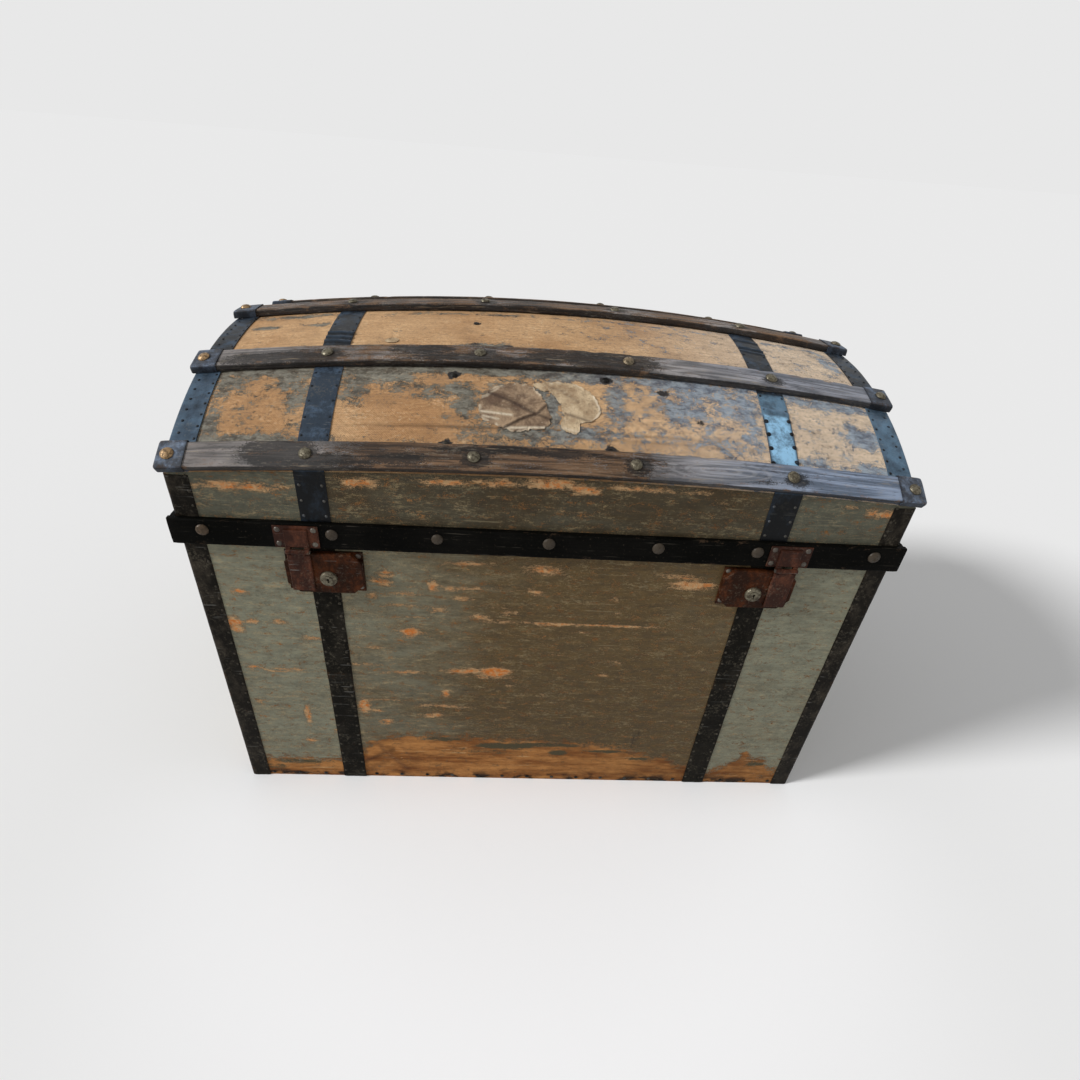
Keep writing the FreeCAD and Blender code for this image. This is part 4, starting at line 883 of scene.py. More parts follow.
# %% Outline with eased edges, and the five slats
def eased(width, height, over=2.0, under=0.4, turns=5):
    """Outline of a bar, width by height with its foot at 0: quarter circles of radius over at the two
    upper edges and under at the two lower ones, in millimetres, and 1 for the points on upper edges."""
    w, points, worn = width / 2, [], []
    corners = [(w - under, under, under, -90), (w - over, height - over, over, 0),
               (-w + over, height - over, over, 90), (-w + under, under, under, 180)]
    for k, (cx, cy, r, start) in enumerate(corners):
        turn = np.radians(np.linspace(start, start + 90, turns))
        points.append(together(cx + r * np.cos(turn), cy + r * np.sin(turn)))
        worn.append(np.full(turns, float(k in (1, 2))))
        if k == 1:
            crossing = np.linspace(w - over, -w + over, 7)[1:-1]
            points.append(together(crossing, height))
            worn.append(np.zeros(5))
    return np.concatenate(points), np.concatenate(worn)


# Old black paint on the first two slats, in rows like those of the patches
OLD_BLACK = [
    [(-275, 0, 34, 14, 1), (-235, -8, 40, 8, 0.8), (-60, 9, 60, 4, 0.8), (-160, -4, 30, 6, 0.7),
     (0, 8, 40, 5, 0.7), (290, 4, 40, 5, 0.3), (220, -8, 30, 4, 0.5)],
    [(60, 0, 46, 14, 1.1), (-150, 6, 30, 7, 0.9), (-300, -6, 60, 8, 0.9), (-90, -8, 70, 6, 0.8),
     (0, 0, 30, 12, 0.7)]]
outline, on_edge = eased(30.0, 8.0, over=2.6)
girth = walked_along(outline) - 26.0  # so that the middle of the top lies at about -3.9
x = np.linspace(-SLAT_END, SLAT_END, 200)[:, None]
w, h = outline.T[:, None] * MM
run, across = np.broadcast_arrays(x, w)
stains = marks(run, across, [(at / MM + 2, -3, 13, 8, 0.85) for at in SLAT_NAIL_X if abs(at) < 0.3])
for k, depth in enumerate(SLAT_Y):
    knock = step(ripple(40 + k, 0.035, x, w * 4), 0.45, 1.2) * on_edge
    shrink = 1 - 0.05 * knock - 0.01 * (1 + ripple(50 + k, 0.2, x))
    lift = SLAT_LOW + h * (1 - 0.09 * knock - 0.012 * (1 + ripple(60 + k, 0.1, x, w)))
    rings = on_dome(x, dome_angle(x, depth) + w * shrink / arch(x)[1], lift)
    if k == 0:
        blue = 0.3 + 0.77 * step(run, 0.06, 0.17) + 0.8 * (1 - step(run, -0.29, -0.17))
    elif k == 1:
        blue = 0.45 + 0.9 * step(run, 0.09, 0.19) + 0.4 * (1 - step(run, -0.33, -0.26))
    else:
        blue = 0.36 + 0.2 * ripple(70 + k, 0.15, run)
    black = marks(run, across, OLD_BLACK[k]) if k < len(OLD_BLACK) else 0.25 + 0.2 * ripple(80 + k, 0.1, run)
    # The slats' sides, below 6.5 mm, are black too: painted shade on the faces that turn from the light,
    # along with the old black paint and the stains round the nails.
    black = np.maximum(np.maximum(black, stains), 0.95 * (h < 6.5 * MM)) + 0.14 * (1 - step(run, 0.06, 0.2))
    wood = bar(rings, together(x, girth * MM + 0.3 * k), worn=0.16 + 0.42 * knock, blue=blue, black=black)
    make("slat_%d_wood" % (k + 1), [wood], "lid", slat_wood, ["slat_%d" % (k + 1)])

# %% [markdown]
# ## Sheet iron
# Straps, corner irons, edge irons and the shoes on the slats' ends are thin black iron, japanned when
# new. Japan wears off along bends and edges, and what is under it turns to brown rust. Each iron
# could have a finish of its own, but they all aged in the same way. So one recipe makes them all,
# with its own colours and roughness for each.

# %% Recipe for iron
def iron(name, dark, light, rust, gloss=0.42, metal=0.0, size=14.0, level=0.1, worn=0.42):
    """Japanned iron: dark colour clouded with a lighter one, rust where it is worn, and fine pits. Layers of
    the mesh add painted sheen and highlights, a painted blue reflection of the sky, and darkening that is
    painted shade on some irons and dirt on tack heads.
    """
    def build(tree):
        spot = place(tree)
        wear = use(patina, Place=spot, Size=size)
        dirt = use(grit, Place=spot, Size=320.0)
        streak = cloud(spot, (46.0, 46.0, 30.0), 7.0, 0.76)
        amount = times_plus(layer(tree, "worn"), worn, times_plus(wear["Clouds"], 0.3, -0.06))
        eaten = use(flake, Place=spot, Amount=amount, Size=90.0, Ragged=1.0, Speckle=0.9)
        # Shine from the mesh is painted sheen and painted highlights on the iron.
        shine = larger(smooth(streak, 0.44, 0.68), layer(tree, "shine"))
        colour = mix(shine, dark, light)
        colour = coats(colour, (eaten["Mask"], 0.7, rust), (dirt["Light"], 0.2, (128, 120, 104)),
                       (wear["Scratches"], 0.4, (130, 130, 126)), (dirt["Dark"], 0.4, dark))
        # Darker where the mesh asks: painted shade on parts of the lid straps, edge irons and shoes, and dirt
        # on the dome's tack heads.
        colour = shade(colour, times_plus(layer(tree, "grime"), -0.78, 1.0))
        # Tack heads are lightened: a painted highlight.
        colour = coats(colour, (layer(tree, "tip"), 0.26, (112, 106, 94)))
        # A painted blue reflection of the sky, where the mesh asks for it.
        painted_reflection = times(layer(tree, "silver"), smooth(streak, 0.36, 0.56, 0.3, 1.0))
        painted_reflection = times(painted_reflection, times_plus(dirt["Dark"], -0.4, 1.0))
        colour = mix(painted_reflection, colour, (144, 190, 222))
        rough = smooth(plus(streak, times(eaten["Mask"], 0.5)), 0.3, 1.0, gloss, gloss + 0.35)
        pits = cloud(spot, 900.0, 3.0, 0.6)
        height = minus(times_plus(streak, 0.8, times(pits, 0.3)), times(eaten["Mask"], 0.3))
        return {"Base_Color": colour, "Roughness": rough, "Metallic": metal, "Specular_IOR_Level": level,
                "height": height, "depth": 0.35}
    return coat(name, build)


strap_iron = iron("strap_iron", (15, 13, 9), (34, 31, 26), (58, 42, 27), level=0.04)
corner_iron = iron("corner_iron", (18, 15, 11), (52, 47, 40), (76, 54, 36), level=0.05)
dome_iron = iron("dome_iron", (24, 28, 33), (68, 84, 102), (54, 43, 34), gloss=0.34, level=0.14, worn=0.3)
shoe_iron = iron("shoe_iron", (56, 60, 68), (112, 126, 146), (70, 56, 44), gloss=0.45, level=0.15, worn=0.5)
lock_iron = iron("lock_iron", (36, 17, 7), (80, 41, 19), (26, 15, 9), gloss=0.34, size=20.0, level=0.06)
hasp_iron = iron("hasp_iron", (46, 25, 18), (92, 54, 38), (28, 19, 14), gloss=0.34, size=20.0, level=0.08)
plain_iron = iron("plain_iron", (28, 26, 24), (62, 58, 54), (80, 54, 36), gloss=0.42, level=0.2)
steel = iron("steel", (70, 64, 58), (118, 112, 102), (70, 50, 36), gloss=0.4, metal=0.4, level=0.3)
tack_steel = iron("tack_steel", (20, 18, 17), (76, 74, 70), (56, 42, 32), gloss=0.4, size=40.0, metal=0.2)

# %% [markdown]
# A strip of iron follows a bent line. A thickened curve could do that, but not with laps and dents.
# So straight runs are joined by small quarter turns, and the outward direction turns with them. The
# strip's outer face is then lifted by its thickness, by dents and by laps where one length of strap
# ends over the next. Tacks are small domes set along it, each a little different from the next.

# %% Bent strips
def bend(corners, radius, pitch):
    """Walks a line with rounded corners; returns places, directions to its right and distances. A
    corner is cut before and after by its radius times the tangent of half the turn."""
    corners = np.array(corners, float)
    ways = unit(np.diff(corners, axis=0))
    places, sides = [], []
    start = corners[0]
    for k, way in enumerate(ways):
        last = k == len(ways) - 1
        after_it = way if last else ways[k + 1]
        turn = math.atan2(way[0] * after_it[1] - way[1] * after_it[0], way @ after_it)
        cut = radius * math.tan(abs(turn) / 2)
        end = corners[k + 1] - way * cut
        count = max(2, int(np.linalg.norm(end - start) / pitch) + 1)
        places.append(np.linspace(start, end, count))
        sides.append(np.tile([way[1], -way[0]], (count, 1)))
        if not last:
            side = np.array([way[1], -way[0]])
            centre = end - side * radius if turn > 0 else end + side * radius
            bit = np.linspace(0, turn, 7)[1:-1]
            spun = together(side[0] * np.cos(bit) - side[1] * np.sin(bit),
                            side[0] * np.sin(bit) + side[1] * np.cos(bit))
            places.append(centre + spun * radius * (1 if turn > 0 else -1))
            sides.append(spun)
            start = corners[k + 1] + after_it * cut
    places, sides = np.concatenate(places), np.concatenate(sides)
    return places, sides, walked_along(places)


UNEVEN = 0.06  # how far heads lean and how much they differ, as a share
SMALL_TACK = 1.7 * MM, 0.9 * MM  # radius and height of a head
CORNER_TACK = 1.7 * MM, 0.8 * MM
STRAP_TACK = 1.9 * MM, 0.9 * MM
WIDE_TACK = 2.8 * MM, 1.7 * MM
PLUG = 4.2 * MM, 1.6 * MM
NAIL = 6.7 * MM, 3.5 * MM


def heads(places, ways, radius, height, seed, sides=12, levels=3, **layers):
    """Domed heads at places, standing along ways: circles shrink as a cosine while they rise as a sine.
    Each head leans and differs in size a little, by chance."""
    places, ways = (np.asarray(v, float).reshape(-1, 3) for v in (places, ways))
    rng = np.random.default_rng(seed)
    count = len(places)
    ways = unit(unit(ways) + rng.normal(scale=UNEVEN, size=(count, 3)))
    first = unit(np.cross(ways, np.where(np.abs(ways[:, :1]) < 0.7, [[1.0, 0, 0]], [[0, 1.0, 0]])))
    second = np.cross(ways, first)
    size, tall = (v * (1 + UNEVEN * rng.uniform(-1, 1, count))[:, None, None] for v in (radius, height))
    climb = np.linspace(0, math.pi / 2, levels + 1)[:-1]
    ring = np.linspace(0, 2 * math.pi, sides, endpoint=False)
    a = (np.cos(climb)[:, None] * np.cos(ring)).reshape(1, -1, 1) * size
    b = (np.cos(climb)[:, None] * np.sin(ring)).reshape(1, -1, 1) * size
    up = np.repeat(np.sin(climb), sides).reshape(1, -1, 1) * tall
    body = places[:, None] + a * first[:, None] + b * second[:, None] + up * ways[:, None]
    points = np.concatenate([body, places[:, None] + tall * ways[:, None]], 1)
    each, last_ring, turn = sides * levels + 1, (levels - 1) * sides, np.arange(sides)
    cap = together(last_ring + turn, last_ring + (turn + 1) % sides, each - 1)
    one = outward(points[0], [grid_faces(levels, sides, wrap=True)[:, ::-1], cap, turn[None, ::-1]])
    starts = (np.arange(count) * each)[:, None, None]
    points = points.reshape(-1, 3)
    layers = {k: np.repeat(v, each) for k, v in layers.items()}
    # The lowest ring of each head; the brass finish darkens it as painted shade where the head meets the
    # wood.
    layers["foot"] = np.tile(np.arange(each) < sides, count)
    return {"points": points, "faces": [(block + starts).reshape(-1, block.shape[1]) for block in one],
            "flat": points[:, :2], "layers": layers}


def dome_way(x, y):
    """The outward direction on the dome: the cross product of a short step along and one across."""
    d = 0.5 * MM
    along = on_dome(x + d, dome_angle(x + d, y), 0.0) - on_dome(x - d, dome_angle(x - d, y), 0.0)
    across = on_dome(x, dome_angle(x, y + d), 0.0) - on_dome(x, dome_angle(x, y - d), 0.0)
    return unit(np.cross(along, across))


def wall_tacks(x, y, z, way, radius, height, seed, sides, tip):
    """A column of tacks at heights z, which all stand along one way; tip is how much their heads are
    lightened, a painted highlight.
    """
    return heads(together(x, y, z), [way] * len(z), radius, height, seed, sides, 2, tip=tip + 0 * z)


def dome_tacks(x, y, lift, radius, height, seed, grime, sides=8):
    """A row of tacks across the dome at depths y, lifted off the cloth; grime is how dark they are."""
    x = x + 0 * y
    return heads(on_dome(x, dome_angle(x, y), lift), dome_way(x, y), radius, height, seed, sides, 2,
                 grime=grime + 0 * y)

# %% [markdown]
# Each of the body's straps goes down the front, under the base and up the back. It could be three
# plates, but the real one is bent from one strip, so it is walked in one go. Two laps thicken it on
# the front, and a row of tacks runs near each of its edges.

# %% Body straps, with their laps and two rows of tacks
LAPS = ((188 * MM, 200 * MM, 1.0), (302 * MM, 312 * MM, 0.5))  # start, end and thickness of each lap
for side, title in SIDES:
    turns_at = [(-SKIN_Y, RIM), (-SKIN_Y, IRON), (SKIN_Y, IRON), (SKIN_Y, RIM)]
    line, ways, walked = bend(turns_at, 0.8 * MM, 3 * MM)
    w, s = np.linspace(-0.5, 0.5, 11)[None, :] * STRAP_W, walked[:, None]
    lap = sum(thick * band(s, low, high, 0.5 * MM) for low, high, thick in LAPS)
    drop = 0.35 * at_edge(w, STRAP_W / 2, 1.2 * MM)
    lift = (0.6 * lap + 0.2 * ripple(90 + side, 0.03, s, w) + 0.1 - drop) * MM + IRON
    x = side * STRAP_X + w * (1 + 0.012 * ripple(94 + side, 0.07, s))
    y = np.clip(line[:, :1] + ways[:, :1] * lift, -SKIN_Y - 2 * MM, SKIN_Y + 2 * MM)
    over = together(x, y, np.maximum(line[:, 1:] + ways[:, 1:] * lift, 0))
    under = together(x, line[:, :1], line[:, 1:])
    rubbed = at_edge(w, STRAP_W / 2, 2.5 * MM) * (0.6 + 0.5 * ripple(97, 0.02, s, w))
    strap = slab(over, under, together(w, s), worn=rubbed + 0.5 * lap, shine=0.5 * lap)
    up = np.arange(14, 336, 19) * MM
    tacks = [wall_tacks(side * STRAP_X + c * 12.4 * MM, d * (SKIN_Y + IRON), up, (0, d, 0),
                        *STRAP_TACK, 3 + c, 8, 1.0) for c in (-1, 1) for d in (-1, 1)]
    make("body_strap_%s_iron" % title, [strap] + tacks, "trunk_body", strap_iron, ["body_strap_%s" % title])

# %% [markdown]
# An angle of iron guards each upright corner, four on the body and four on the lid. Two plates that
# meet would leave a hard edge. A line with one round bend, repeated upwards, gives the rounding, and
# wear is strongest along it, because a corner is what knocks into things.

# %% Angle irons on the upright corners
def corner(sx, sy, low, high, seed):
    """An angle of sheet iron: one bent line, repeated at each height and lifted by dents, with a column
    of tacks near each edge."""
    leg = 25 * MM
    turns_at = [(sx * SKIN_X, sy * (SKIN_Y - leg)), (sx * SKIN_X, sy * SKIN_Y),
                (sx * (SKIN_X - leg), sy * SKIN_Y)]
    line, ways, walked = bend(turns_at, 5 * MM, 2.4 * MM)
    ways = ways * np.sign(np.sum(ways * line, 1))[:, None]
    s, z = walked[None, :], np.linspace(low, high, max(8, int((high - low) / (4 * MM))))[:, None]
    half = walked[-1] / 2
    lift = IRON + (0.1 * ripple(seed, 0.03, s, z) - 0.05 - 0.3 * at_edge(s - half, half, 1.2 * MM)) * MM
    over = together(line[:, 0] + ways[:, 0] * lift, line[:, 1] + ways[:, 1] * lift, z)
    worn = 0.75 * bell(s - half, 4 * MM) + 0.5 * at_edge(s - half, half, 2 * MM)
    worn = worn * (0.7 + 0.5 * ripple(seed + 1, 0.03, s, z))
    up = np.arange(low + 8 * MM, high - 4 * MM, 17 * MM)
    inset = leg - 2.6 * MM
    return [slab(over, together(*line.T, z), together(s, z), worn=worn, shine=0.0),
            wall_tacks(sx * (SKIN_X + IRON), sy * (SKIN_Y - inset), up, (sx, 0, 0),
                       *CORNER_TACK, seed, 7, 0.7),
            wall_tacks(sx * (SKIN_X - inset), sy * (SKIN_Y + IRON), up + 5 * MM, (0, sy, 0),
                       *CORNER_TACK, seed + 1, 7, 0.7)]


FOUR = [(sx, sy) for sx in (-1, 1) for sy in (-1, 1)]
CORNER_SETS = [("body_corners", "trunk_body", "body_corner_irons", 0.2 * MM, RIM, 110),
               ("lid_corners", "lid", "lid_corner_irons", BATTEN_TOP, RIM + 78.5 * MM, 120)]
for name, body, solid, low, high, seed in CORNER_SETS:
    angles = [part for k, signs in enumerate(FOUR) for part in corner(*signs, low, high, seed + k)]
    make(name, angles, body, corner_iron, [solid])

# %% [markdown]
# The lid's straps run up the front wall, bend at the eave, pass over the dome under the slats and go
# down the back. In places they are doubled, and there the sheet stands up in ridges across the strap.
# They could be walked like the body's, but on the dome the arch's own formula is more exact. So the
# rows of the two walls are set before and after those of the arch.

# %% Lid straps
LID_RIDGES = {-1: [(-104, 2.2), (-95, 1.7), (-85, 2.0), (40, 1.2)],
              1: [(-40, 1.6), (-64, 2.2), (-72, 1.2), (-118, 1.5), (-180, 0.9), (-244, 0.9)]}
WALL_ROWS = 16
UP_THE_WALL = np.array([434, 452, 470]) * MM


def lid_strap(side):
    """The strap's grid: rows follow wall, arch and wall; the lift is thickness, ridges and dents."""
    w = np.linspace(-0.5, 0.5, 11)[None, :] * STRAP_W
    x = side * STRAP_X + w
    limit = dome_angle(x, SKIN_Y)
    angle = np.linspace(-1, 1, 300)[:, None] * limit
    y = arch(x)[1] * np.sin(angle)
    climb = np.linspace(BATTEN_TOP, on_dome(x, -limit, 0.0)[0, :, 2] - 0.4 * MM, WALL_ROWS)
    bent = y / MM + 0.12 * w / MM + 0.8 * ripple(131 + side, 0.03, w)
    ridge = sum(tall * bell(bent - at, 1.9) for at, tall in LID_RIDGES[side])
    valley = sum(tall * bell(bent - at + 3.2, 1.6) for at, tall in LID_RIDGES[side])
    drop = 0.3 * at_edge(w, STRAP_W / 2, 1.2 * MM)
    near = np.min(np.abs(y[..., None] - SLAT_Y), -1) < 17 * MM
    lift = np.where(near, 0.9, 1.05 + ridge + 0.16 * ripple(130 + side, 0.03, y, w)) - drop
    over, under = [on_dome(x, angle, lift * MM)], [on_dome(x, angle, 0.1 * MM)]
    for face, at, way in ((-1, 0, 1), (1, 2, -1)):
        out = (0.9 + 0.12 * ripple(135 + face, 0.03, climb, w) - drop) * MM
        over.insert(at, together(x, face * (SKIN_Y + out), climb)[::way])
        under.insert(at, together(x, face * (SKIN_Y + 0.1 * MM), climb)[::way])
    over, under = np.concatenate(over), np.concatenate(under)
    s = walked_along(under[:, 5])[:, None]
    # Colour layers that paint light: shine is a painted highlight on the ridge tops and a painted sheen on
    # the front of the arch; dark is painted shade on the wall part, in the valleys beside the ridges and
    # behind the front; on the right strap the panel between the first two slats gets a painted blue
    # reflection of the sky.
    shine, dark, reflected_panel = np.zeros((3, *over.shape[:2]))
    on_arch = slice(WALL_ROWS, -WALL_ROWS)
    shine[on_arch] = 0.8 * np.minimum(ridge, 1) + 0.35 * step(-y, 0.15, 0.17)
    dark[:] = 1.0
    dark[on_arch] = np.minimum(0.7 * valley + 0.45 * step(y, -0.13, -0.12), 0.9) * (~near)
    if side > 0:
        reflected_panel[on_arch] = band(y, -0.245, -0.188, 3 * MM) * (1 - step(np.abs(w), 14 * MM, 15 * MM))
        reflected_panel[on_arch] += 0.3 * step(y, -0.188, -0.185) * (1 - step(y, -0.16, -0.155))
    rubbed = at_edge(w, STRAP_W / 2, 2.5 * MM) * (0.6 + 0.5 * ripple(137, 0.02, s, w))
    return slab(over, under, together(w, s), worn=rubbed, shine=shine, grime=dark, silver=reflected_panel)


def between_slats(first, pitch):
    """Depths of tacks, pitch apart, in the four gaps between the slats; the first gap starts at first."""
    gaps = ((first, -154), (-118, -18), (20, 122), (156, 240))
    return np.concatenate([np.arange(low, high, pitch) for low, high in gaps]) * MM


for side, title in SIDES:
    shapes = [lid_strap(side)]
    far = between_slats(-236, 19)
    if side > 0:
        far = far[far > -0.18]
    for c in (-1, 1):
        for d in (-1, 1):
            shapes.append(wall_tacks(side * STRAP_X + c * 11.5 * MM, d * (SKIN_Y + 0.9 * MM), UP_THE_WALL,
                                     (0, d, 0), *SMALL_TACK, 140 + c, 8, 1.0))
        if side > 0:
            wide = (np.arange(-240, -180, 15.5) + c * 1.5) * MM
            shapes.append(dome_tacks(side * STRAP_X + c * 13.4 * MM, wide, 1.0 * MM,
                                     *WIDE_TACK, 160 + c, 0.8, sides=9))
        shapes.append(dome_tacks(side * STRAP_X + c * 12.8 * MM, far, 0.9 * MM,
                                 *SMALL_TACK, 150 + c, 0.7))
    make("lid_strap_%s_iron" % title, shapes, "lid", dome_iron, ["lid_strap_%s" % title])

# %% [markdown]
# An edge iron closes each end of the dome. It could be two plates that meet, but the real one is one
# strip folded over the edge, so its profile is bent once and carried round the arch. Where it would
# run into the corner irons its outer leg is cut short.

# %% Edge irons round the two ends of the dome
IRON_END, LEG_ENDS = 392.9 * MM, (242.5 * MM, 243.5 * MM)
for side, title in SIDES:
    turns_at = [(IRON_END - 28 * MM, 0.9 * MM), (IRON_END, 0.9 * MM), (IRON_END, -18 * MM)]
    path, _, walked = bend(turns_at, 1.6 * MM, 2.5 * MM)
    x, up, s = path[None, :, 0], path[None, :, 1], walked[None, :]
    angle = np.linspace(-1, 1, 150)[:, None] * dome_angle(x, SKIN_Y)
    y = arch(x)[1] * np.sin(angle)
    fall = np.where(up < 0, up * (1 - 0.96 * step(np.abs(y), *LEG_ENDS)), up)
    dent = (0.1 * ripple(170 + side, 0.03, x, y) + 0.5 * bell(s - 1 * MM, 1.2 * MM)) * MM
    over = on_dome(x, angle, fall + np.where(up > -0.5 * MM, dent, 0.0))
    over[..., 0] = side * np.minimum(x, IRON_END)
    under = on_dome(x, angle, np.minimum(np.where(up < -0.5 * MM, fall, 0.1 * MM), fall))
    under[..., 0] = side * np.minimum(x, IRON_END - IRON)
    worn = 0.8 * bell(x - IRON_END, 3 * MM) * (0.7 + 0.5 * ripple(175, 0.03, y)) + 0.35 * (s < 1.5 * MM)
    # Sheen is a painted reflection of the sky on the front of the arch, bluer on the right iron; behind the
    # front the iron is made darker, a painted shade.
    sheen = 0.8 * step(-y, 0.13, 0.16) * (0.7 + 0.3 * ripple(176 + side, 0.03, y, s))
    shapes = [slab(over, under, together(s, y), worn=worn, shine=sheen, grime=0.35 * step(y, -0.13, -0.11),
                   silver=(0.12, 0.3)[side > 0] * sheen)]
    for inset, shift in ((25.4, 0), (8.0, 7)):
        shapes.append(dome_tacks(side * (IRON_END - inset * MM), between_slats(-238, 13.5) + shift * MM,
                                 0.9 * MM, *SMALL_TACK, 180, 0.7))
    make("edge_iron_%s" % title, shapes, "lid", dome_iron, ["dome_edge_iron_%s" % title])

# %% [markdown]
# Each end of a slat sits in a shoe of thin iron, folded from one piece. A box would look solid there
# instead of folded. So the shoe is a profile across the slat, carried along it; towards the tip the
# profile sinks, so that the shoe closes over the end grain.

# %% Shoes on the slats' ends
def shoe(side, depth, seed):
    """A folded iron shoe: its profile goes up one side of the slat, over it and down the other, and
    sinks to nothing at the tip."""
    tip, length, half, r = 396.4 * MM, 28 * MM, 16 * MM, 2.4 * MM
    low, high = SLAT_LOW + 0.2 * MM, SLAT_HIGH + 1 * MM
    turn = np.linspace(0, math.pi / 2, 5)
    w = np.concatenate([[half, half], half - r + r * np.cos(turn), np.linspace(half - r, -half + r, 9)[1:-1],
                        -half + r - r * np.sin(turn), [-half, -half]])
    h = np.concatenate([[low, (low + high) / 2], high - r + r * np.sin(turn), np.full(7, high),
                        high - r + r * np.cos(turn), [(low + high) / 2, low]])
    rounding = tip - 2.2 * MM * (1 - np.sin(turn))
    along = np.concatenate([np.linspace(tip - length, tip - 2.5 * MM, 10), rounding, [tip] * 3])
    kept = np.concatenate([[1.0] * 10, 1 - 0.25 * (1 - np.cos(turn)), [0.6, 0.3, 0.0]])[:, None]
    x, w = np.broadcast_arrays(along[:, None], w)
    dent = 0.6 * MM * step(ripple(seed, 0.012, x, w * 2), 0.6, 1.3) * (kept > 0.9)
    tall = low + (h - low) * kept - dent
    angle, squeeze = dome_angle(x, depth), 1 - 0.1 * step(x, tip - 2.5 * MM, tip) ** 2
    over = on_dome(x, angle + w * squeeze / arch(x)[1], tall)
    x_in, tall_in = np.minimum(x, tip - IRON), np.maximum(tall - IRON, SLAT_LOW + 0.1 * MM)
    under = on_dome(x_in, angle + w * squeeze * 0.952 / arch(x)[1], tall_in)
    over[..., 0] *= side
    under[..., 0] *= side
    on_bend = (np.abs(h - high) < 1.5 * MM) * (np.abs(w) > half - 3 * MM)
    worn = 0.6 * on_bend + 0.5 * step(x, tip - 3 * MM, tip)
    # The shoe's sides and tip, and a line where it starts, are made darker: painted shade.
    dark = 0.8 * (h < high - 1 * MM) + 0.5 * step(x, tip - 1 * MM, tip)
    dark = np.maximum(dark, 0.7 * bell(x - tip + length, 1.2 * MM))
    return slab(over, under, together(x, w), worn=worn, shine=0.0, grime=dark)


shoes = [shoe(side, depth, 190 + k) for side in (-1, 1) for k, depth in enumerate(SLAT_Y)]
make("slat_shoes", shoes, "lid", shoe_iron, ["slat_caps"])

# %% [markdown]
# ## Rim battens
# A black painted strip goes round the lid's lower edge. It takes every knock, so its outer edges are
# rounded and show wood. The front strip laps over the ends of the side strips. A bevel on a box would
# round the edges evenly; here the outline is carried along with its own knocks at each step.

# %% Finish and strips
def batten_finish(tree):
    """Black paint over wood, rubbed off on the edges."""
    flat = flat_place(tree)
    lines = use(grain, Place=flat, Figure=1.0, Fibre=1.0)
    wear = use(patina, Place=flat, Size=12.0)
    worn = use(flake, Place=scaled(flat, 0.4, 1.2, 1.0),
               Amount=layer(tree, "worn"), Size=70.0, Ragged=1.0, Speckle=0.7)
    colour = mix(smooth(wear["Clouds"], 0.35, 0.7), (3, 3, 2), (12, 11, 9))
    colour = shade(colour, smooth(lines["Shade"], 0.35, 0.68, 0.7, 1.4))
    colour = coats(colour, (worn["Mask"], 0.7, (66, 52, 40)), (wear["Scratches"], 0.3, (104, 98, 88)),
                   (wear["Specks"], 0.3, (84, 74, 62)))
    height = minus(lines["Height"], times(worn["Mask"], 0.4))
    return {"Base_Color": colour, "Roughness": smooth(lines["Shade"], 0.3, 0.7, 0.42, 0.66),
            "Specular_IOR_Level": 0.03, "height": height, "depth": 0.4}


black_wood = coat("black_wood", batten_finish)
BATTEN_H, BATTEN_T = 31.0, 6.5  # height and thickness, in millimetres like all that eased() takes


def strip(start, end, out, seed):
    """A batten from start to end (x, y), its outline set on end at even steps. Knocks and both tips
    make the outline a little thinner."""
    start, end, out = (np.array(v, float) for v in (start, end, out))
    outline, edge = eased(BATTEN_H, BATTEN_T, over=2.0, under=0.3)
    length = np.linalg.norm(end - start)
    s = np.linspace(0, length, max(6, int(length / (5 * MM))))[:, None]
    up, depth = outline.T[:, None] * MM
    knock = step(ripple(seed, 0.04, s, up * 3), 0.4, 1.2) * edge
    tips = 1 - 0.12 * np.exp(-s / (1.2 * MM)) - 0.12 * np.exp(-(length - s) / (1.2 * MM))
    depth = depth * (1 - 0.1 * knock) * tips - 0.02 * MM * (1 + ripple(seed + 2, 0.1, s, up))
    depth = np.maximum(depth, 0.02 * MM)
    up = up * (1 - 0.02 * knock)
    rings = np.empty((len(s), len(edge), 3))
    rings[..., :2] = start + (end - start) / length * s[..., None] + out * depth[..., None]
    rings[..., 2] = RIM + BATTEN_H / 2 * MM + up
    worn = 0.08 + 0.3 * edge * (0.55 + 0.6 * ripple(seed + 1, 0.05, s, up))
    return bar(rings, together(s + seed * 0.1, walked_along(outline) * MM), worn=worn)


def batten(name, solid, runs, seed):
    """One object from the strips along each run: its start, its end and the way it faces."""
    strips = [strip(*run, seed + 5 * k) for k, run in enumerate(runs)]
    make(name, strips, "lid", black_wood, [solid])


END_X, HINGE_X, HINGE_HALF = 398.5 * MM, 310.1 * MM, 32.2 * MM
gap_in, gap_out = HINGE_X - HINGE_HALF, HINGE_X + HINGE_HALF
batten("batten_front", "rim_batten_front", [((-END_X, -SKIN_Y), (END_X, -SKIN_Y), (0, -1))], 200)
batten("batten_left", "rim_batten_left", [((-SKIN_X, SKIN_Y), (-SKIN_X, -SKIN_Y), (-1, 0))], 210)
batten("batten_right", "rim_batten_right", [((SKIN_X, -SKIN_Y), (SKIN_X, SKIN_Y), (1, 0))], 220)
ends = [(END_X, gap_out), (gap_in, -gap_in), (-gap_out, -END_X)]
batten("battens_back", "rim_battens_back", [((a, SKIN_Y), (b, SKIN_Y), (0, 1)) for a, b in ends], 230)

# %% [markdown]
# ## Nails, labels and plugs
# Brass nails with domed heads hold slats and battens. One head copied to all places would look
# stamped by a machine, and no two of the real ones are alike: some have kept their colour, others
# are grey. So each head leans and differs in size by chance, and carries its own warmth of colour.

